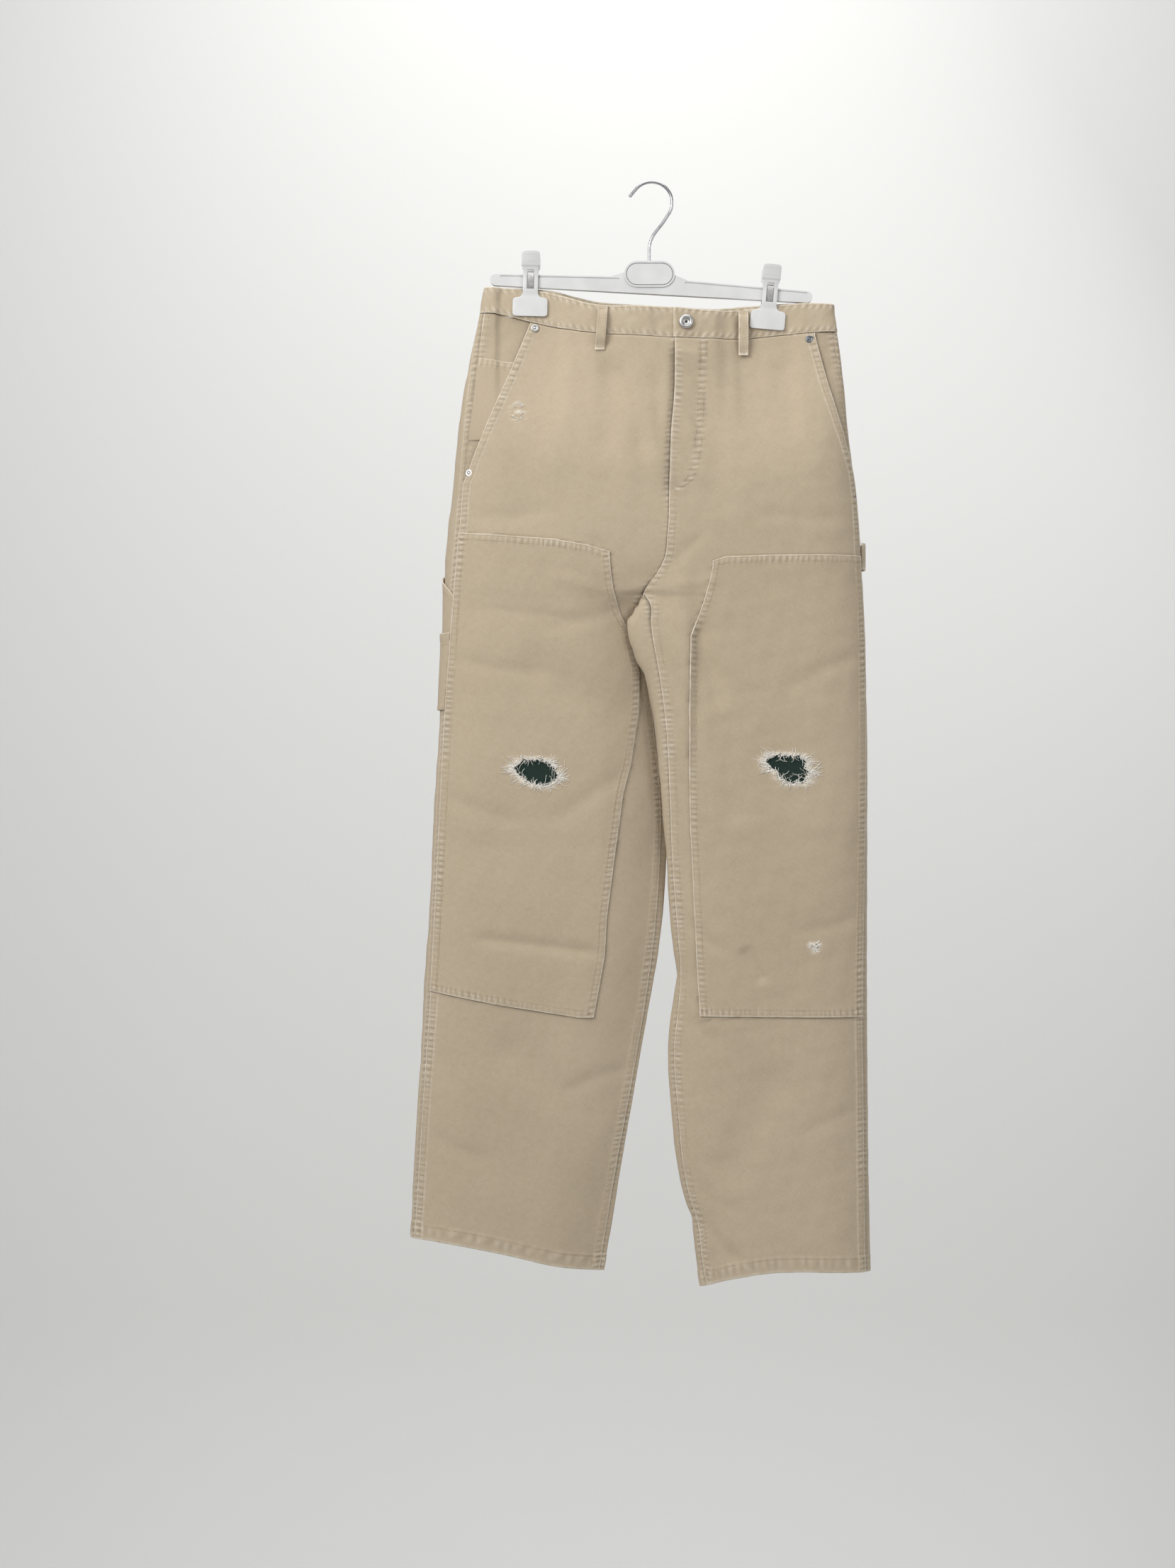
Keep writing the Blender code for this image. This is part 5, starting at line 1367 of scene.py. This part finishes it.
LOOPS = {"belt_loop_front_right": (-57.5, -61.5, -1.0), "belt_loop_front_left": (108.0, 108.0, -1.0),
         "belt_loop_back_right": (-96.0, -97.0, 1.0), "belt_loop_centre_back": (12.0, 12.0, 1.0),
         "belt_loop_back_left": (88.0, 88.0, 1.0)}
loop_lines = []
for node, (top_x, low_x, sign) in LOOPS.items():
    strap, middle, reach = soft_strap(node, node + "_strap")
    top, low = middle[2] + reach[2] - 1.5, middle[2] - reach[2] + 1.5
    at = np.linspace(0, 1, 60)
    for inset in (-3.9, 3.9):
        loop_lines.append(laid_line(strap, top_x + (low_x - top_x) * at + inset,
                                    top + (low - top) * at, sign))
    for height in (top - 2.5, low + 2.5):
        centre = np.interp(height, (low, top), (low_x, top_x))
        loop_lines.append(laid_line(strap, centre + np.linspace(-4.6, 4.6, 20),
                                    np.full(20, height), sign))
lock_stitches("belt_loop_stitches", loop_lines, thread=0.3)
soft_strap("hammer_loop", "hammer_loop_strap")

# ---------------------------------------------------------------------------------------------
# Button and rivets: a bright nickel ring button with a hollow centre, and cap rivets with a nub,
# bright on the right and dull dark on the left.


def plated_steel(name, colour, roughness, spread):
    """Plated metal, a little cloudy, with fine wear in its gloss."""
    made, shader, cloud = clouded(name, [c * 0.8 for c in colour],
                                  [min(c * 1.12, 1) for c in colour], 420.0, detail=4.0)
    shader.inputs["Metallic"].default_value = 1.0
    tone = made.node_tree.nodes.new("ShaderNodeMapRange")
    tone.inputs["To Min"].default_value = roughness - spread
    tone.inputs["To Max"].default_value = roughness + spread
    made.node_tree.links.new(cloud.outputs["Fac"], tone.inputs["Value"])
    made.node_tree.links.new(tone.outputs["Result"], shader.inputs["Roughness"])
    return made


bright_nickel = plated_steel("bright nickel", (0.6, 0.59, 0.57), 0.4, 0.1)
dull_nickel = plated_steel("dull dark nickel", (0.24, 0.25, 0.26), 0.42, 0.12)


def turned_cap(name, node, profile, finish):
    """A round cap of (radius, height) steps, on the place and axis of its solid."""
    solid = np.array([vert.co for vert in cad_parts[node].data.vertices])
    axis = np.linalg.svd(solid - solid.mean(axis=0))[2][2]
    axis *= -np.sign(axis[1])
    middle = (solid.min(axis=0) + solid.max(axis=0)) / 2
    base = ((solid - middle) @ axis).min()
    bpy.ops.object.select_all(action="DESELECT")
    bpy.ops.mesh.primitive_circle_add(vertices=48, radius=profile[0][0] / 1000, fill_type="NGON")
    cap = bpy.context.object
    cap.name = name
    bpy.ops.object.mode_set(mode="EDIT")
    bpy.ops.mesh.select_all(action="SELECT")
    for (radius, height), (wider, higher) in zip(profile, profile[1:]):
        bpy.ops.mesh.extrude_region_move(
            TRANSFORM_OT_translate={"value": (0, 0, (higher - height) / 1000)})
        bpy.ops.transform.resize(value=(wider / radius, wider / radius, 1),
                                 center_override=(0, 0, 0))
    bpy.ops.mesh.select_all(action="SELECT")
    bpy.ops.mesh.normals_make_consistent(inside=False)
    bpy.ops.object.mode_set(mode="OBJECT")
    stand = Matrix.Translation(Vector(middle + axis * base)) @ \
        Vector(axis).to_track_quat("Z", "Y").to_matrix().to_4x4()
    cap.data.transform(stand)
    bpy.ops.object.shade_smooth_by_angle(angle=math.radians(50))
    finish_piece(cap, finish, [node])


# radius, height: from the back face round to the middle of the front
BUTTON_PROFILE = ((7.3, 0), (8.1, 0.5), (8.5, 1.1), (8.3, 1.9), (7.6, 2.6), (6.6, 3.05),
                  (5.6, 3.1), (4.9, 2.9), (4.3, 2.3), (3.7, 1.2), (3.2, 0.8), (2.2, 0.75),
                  (1.9, 0.7), (1.2, 0.65))
CENTRE_PROFILE = ((3.5, 0.7), (3.45, 1.15), (2.6, 1.25), (1.5, 1.2), (1.3, 1.7), (0.8, 1.9),
                  (0.3, 1.95))
RIVET_PROFILE = ((4.3, 0), (4.8, 0.25), (4.75, 0.7), (4.3, 1.15), (3.5, 1.35), (2.7, 1.3), (2.1, 1.1),
                 (1.7, 0.85), (1.5, 1.1), (1.3, 1.5), (0.9, 1.75), (0.4, 1.85))
turned_cap("ring_button", "waist_button", BUTTON_PROFILE, bright_nickel)
# The button's hollow centre is filled with a near-black cap: painted shade of the hole.
painted_hole_shade = plated_steel("blackened centre", (0.045, 0.045, 0.045), 0.5, 0.1)
turned_cap("ring_button_centre", "waist_button", CENTRE_PROFILE, painted_hole_shade)
for place, finish, slot_name in (("top_right", bright_nickel, "bright_steel"),
                                 ("side_right", bright_nickel, "bright_steel"),
                                 ("top_left", dull_nickel, "dark_steel"),
                                 ("side_left", dull_nickel, "dark_steel")):
    turned_cap(f"cap_rivet_{place}", f"rivet_{place}", RIVET_PROFILE, finish)

# ---------------------------------------------------------------------------------------------
# The hanger's bar: pale grey moulded plastic, satin, with a groove along the top of each arm
# and a bare oval plate in the middle that holds the hook.

pale_plastic, plastic_shader, plastic_cloud = clouded(
    "pale grey plastic", (0.59, 0.59, 0.58), (0.66, 0.66, 0.645), 38.0, 0.36, detail=5.0, low=0.3,
    high=0.7)
plastic_tree = pale_plastic.node_tree
plastic_bump = plastic_tree.nodes.new("ShaderNodeBump")
plastic_bump.inputs["Strength"].default_value = 0.12
plastic_bump.inputs["Distance"].default_value = 0.0003
plastic_fine = plastic_tree.nodes.new("ShaderNodeTexNoise")
plastic_fine.inputs["Scale"].default_value = 900.0
plastic_place = plastic_cloud.inputs["Vector"].links[0].from_socket
plastic_tree.links.new(plastic_place, plastic_fine.inputs["Vector"])
plastic_tree.links.new(plastic_fine.outputs["Fac"], plastic_bump.inputs["Height"])
plastic_tree.links.new(plastic_bump.outputs["Normal"], plastic_shader.inputs["Normal"])

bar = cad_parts["hanger_bar"]
bar.data.materials.clear()
bar.data.materials.append(pale_plastic)

RIM = (-2.5, -107.9, 27.4, 12.8, 4.95)         # across, height, half width, half height, depth
RIM_WIRE = 0.42
rim_ends = RIM[2] - RIM[3]
rim_path = []
for side in (1, -1):
    for turn in np.linspace(-math.pi / 2, math.pi / 2, 25):
        rim_path.append((RIM[0] + side * (rim_ends + RIM[3] * math.cos(turn)),
                         RIM[1] + side * RIM[3] * math.sin(turn)))
grey_rim, _, _ = clouded("grey rim line", (0.1, 0.1, 0.11), (0.2, 0.2, 0.21), 200.0)


def wire(name, path, radius, finish, closed=False, sides=10, nodes=()):
    """A round wire bent along points in millimetres, made a mesh."""
    line = bpy.data.curves.new(name, "CURVE")
    line.dimensions = "3D"
    run = line.splines.new("POLY")
    run.points.add(len(path) - 1)
    for point, place in zip(run.points, path):
        point.co = (*[c / 1000 for c in place], 1)
    run.use_cyclic_u = closed
    line.bevel_depth = radius / 1000
    line.bevel_resolution = sides
    line.use_fill_caps = not closed
    lay_out(name, line)
    bpy.ops.object.convert(target="MESH")
    made = bpy.context.object
    made.data.materials.clear()
    bpy.ops.object.shade_smooth_by_angle(angle=math.radians(45))
    finish_piece(made, finish, nodes)


for face in ("front", "back"):
    depth = SIGN[face] * (RIM[4] - 0.25)
    wire(f"plate_rim_{face}", [(x, depth, z) for x, z in rim_path], RIM_WIRE, grey_rim,
         closed=True, sides=3)

# ---------------------------------------------------------------------------------------------
# The hook: 3.6 mm plated wire, its tip straight, bent over the rail and back down into the bar.

HOOK_WIRE = 3.6
HOOK_RADIUS = 24.3
HOOK_TIP = 11.5                                # its straight end
HOOK_TURNS = (140, -38)                        # degrees, from the tip over the rail
brushed_wire = plated_steel("grey plated wire", (0.5, 0.5, 0.51), 0.28, 0.08)
hook_middle = -HOOK_RADIUS + HOOK_WIRE / 2
turns = np.radians(np.linspace(*HOOK_TURNS, 60))
hook_path = [(HOOK_RADIUS * math.cos(t), 0, hook_middle + HOOK_RADIUS * math.sin(t)) for t in turns]
tip = (hook_path[0][0] - math.sin(turns[0]) * HOOK_TIP, 0,
       hook_path[0][2] + math.cos(turns[0]) * HOOK_TIP)
stem = np.array(((hook_path[-1][0], hook_path[-1][2]), (13.0, -47.0), (6.2, -55.5), (1.6, -62.0),
                 (-1.4, -69.0), (-2.5, -76.0), (-2.5, -84.0), (-2.5, -103.5)))
stem_run = distances(stem)
stem_at = np.linspace(0, stem_run[-1], 40)[1:]
stem_rows = [list(zip(stem_run, stem[:, k])) for k in (0, 1)]
hook_path += list(zip(curve(stem_rows[0], stem_at), 0 * stem_at, curve(stem_rows[1], stem_at)))
wire("hanging_hook", [tip] + hook_path, HOOK_WIRE / 2, brushed_wire,
     nodes=["hanger_hook"])

# ---------------------------------------------------------------------------------------------
# The clips: two moulded jaws pinched together over the bar by a bent steel strip in their
# windows. Each jaw has a broad rounded foot on the cloth, a narrow waist and a ridged head.

BAR_MIDDLE = (-2.5, -118.5)
CLIPS = {"right": (-143.0, math.radians(1.3)), "left": (139.6, math.radians(5.0))}
JAW_THICK = 2.6
RIDGES = (22.0, 24.6, 27.2, 29.8)              # heights of the head's ridges
# height from the bar, distance of the jaw's inner face from the middle plane
JAW_INNER = ((-42.5, 2.9), (-22.5, 2.9), (-17.5, 3.0), (-13.0, 3.9), (9.0, 4.4), (18.0, 6.2),
             (31.5, 9.0), (33.0, 9.3))
# half width by height from the bar, foot first, with the foot's corners and the fillets rounded
JAW_OUTLINE = ((-42.5, 16.6), (-42.2, 18.4), (-41.2, 19.9), (-39.6, 20.5), (-24.6, 20.5),
               (-22.8, 20.0), (-21.4, 18.6), (-20.6, 16.4), (-20.2, 13.2), (-19.2, 11.2),
               (-17.2, 9.7), (-14.0, 8.8), (-10.5, 8.8), (0.0, 8.8), (9.0, 8.8), (12.0, 8.8),
               (14.8, 9.3), (16.2, 10.8), (29.0, 10.8), (31.4, 10.2), (32.6, 8.6), (33.0, 6.0))
WINDOW = (4.2, -10.5, 12.0)                    # half width, lower and upper end
WINDOW_SHARE = 0.48


def clip_jaw(face, half, stand):
    """One jaw: its outline filled, thickened, bent to its distance from the cloth and rounded."""
    heights = np.array([row[0] for row in JAW_OUTLINE])
    widths = np.array([row[1] for row in JAW_OUTLINE])
    levels = np.unique(np.round(np.concatenate([heights, np.linspace(-42, 32.5, 60)]), 3))
    sign = SIGN[face]
    shares = np.array([-1, -0.8, -0.6, -WINDOW_SHARE, -0.3, 0, 0.3, WINDOW_SHARE, 0.6, 0.8, 1])
    vertices, faces, columns = [], [], len(shares)
    for z in levels:
        wide = float(np.interp(z, heights, widths))
        inner = float(curve(JAW_INNER, z))
        grip = 0.35 * sum(close_to(z, at, 0.8) for at in RIDGES)
        head_step = 0.5 * float(ease((z - 15.6) / 0.8))
        for share in shares:
            if abs(share) <= WINDOW_SHARE:
                x = WINDOW[0] * share / WINDOW_SHARE
            else:
                beyond = (abs(share) - WINDOW_SHARE) / (1 - WINDOW_SHARE)
                x = math.copysign(WINDOW[0] + (wide - WINDOW[0]) * beyond, share)
            crown = 0.35 * (1 - share * share)
            inside_head = 1.0 if abs(share) < 0.81 else 0.0
            outer = inner + JAW_THICK + crown + head_step + grip * inside_head
            vertices += [(x, sign * outer, z), (x, sign * inner, z)]

    def index(row, column, shell):
        return (row * columns + column) * 2 + shell

    def open_cell(row, column):
        in_height = levels[row] >= WINDOW[1] - 0.01 and levels[row + 1] <= WINDOW[2] + 0.01
        return in_height and 3 <= column < 7

    cells = [(r, c) for r in range(len(levels) - 1) for c in range(columns - 1)
             if not open_cell(r, c)]
    kept = set(cells)
    for r, c in cells:
        loop = [index(r, c, 0), index(r, c + 1, 0), index(r + 1, c + 1, 0), index(r + 1, c, 0)]
        faces += [loop, [k + 1 for k in loop[::-1]]]
        for (dr, dc), (a, b) in (((-1, 0), (0, 1)), ((0, 1), (1, 2)), ((1, 0), (2, 3)),
                                 ((0, -1), (3, 0))):
            if (r + dr, c + dc) not in kept:
                faces.append([loop[b], loop[a], loop[a] + 1, loop[b] + 1])
    mesh = bpy.data.meshes.new(f"clip_jaw_{face}_{half}")
    mesh.from_pydata([[c / 1000 for c in vertex] for vertex in vertices], [], faces)
    mesh.transform(stand)
    face_outwards(mesh)
    jaw = lay_out(mesh.name, mesh)
    add_modifier(jaw, "BEVEL", width=0.0006, segments=3, limit_method="ANGLE", angle_limit=0.8)
    bpy.ops.object.shade_smooth_by_angle(angle=math.radians(35))
    finish_piece(jaw, pale_plastic, [f"clip_{face}_{half}"])


def spring_strip(half, stand):
    """The bent steel strip that shows as bright bands in both windows."""
    rise = ((5.4, -9.8), (5.9, -7.0), (6.2, -2.0), (6.0, 3.0), (5.2, 7.6), (4.4, 9.8), (3.0, 10.8))
    places = np.array([(-y, z) for y, z in rise] + list(rise[::-1]))
    run = np.arange(len(places), dtype=float)
    at = np.linspace(0, len(places) - 1, 90)
    line = np.stack([curve(list(zip(run, places[:, k])), at) for k in (0, 1)], axis=1)
    slope = np.gradient(line, axis=0)
    normal = np.stack([-slope[:, 1], slope[:, 0]], axis=1)
    normal = unit(normal)
    ring = []
    for side in (-3.7, 3.7):
        for lift in (0.35, -0.35):
            y, z = (line + normal * lift).T
            ring.append(np.stack([np.full(len(at), side), y, z], axis=1))
    order = (ring[0], ring[1], ring[3], ring[2])
    vertices = np.concatenate(order) / 1000
    count = len(at)
    faces = [[a * count + k, b * count + k, b * count + k + 1, a * count + k + 1]
             for a, b in ((0, 1), (1, 2), (2, 3), (3, 0)) for k in range(count - 1)]
    faces += [[0, count, 2 * count, 3 * count],
              [4 * count - 1, 3 * count - 1, 2 * count - 1, count - 1]]
    mesh = bpy.data.meshes.new(f"clip_strip_{half}")
    mesh.from_pydata(vertices.tolist(), [], faces)
    mesh.transform(stand)
    face_outwards(mesh)
    lay_out(mesh.name, mesh)
    bpy.ops.object.shade_smooth_by_angle(angle=math.radians(50))
    finish_piece(bpy.context.object, bright_nickel, [f"clip_spring_{half}"])


for half, (x, slope) in CLIPS.items():
    drop = math.tan(slope) * abs(x - BAR_MIDDLE[0])
    z = BAR_MIDDLE[1] + (drop if half == "right" else -drop)
    stand = Matrix.Translation((x / 1000, 0, z / 1000)) @ Matrix.Rotation(slope, 4, "Y")
    for face in ("front", "back"):
        clip_jaw(face, half, stand)
    spring_strip(half, stand)
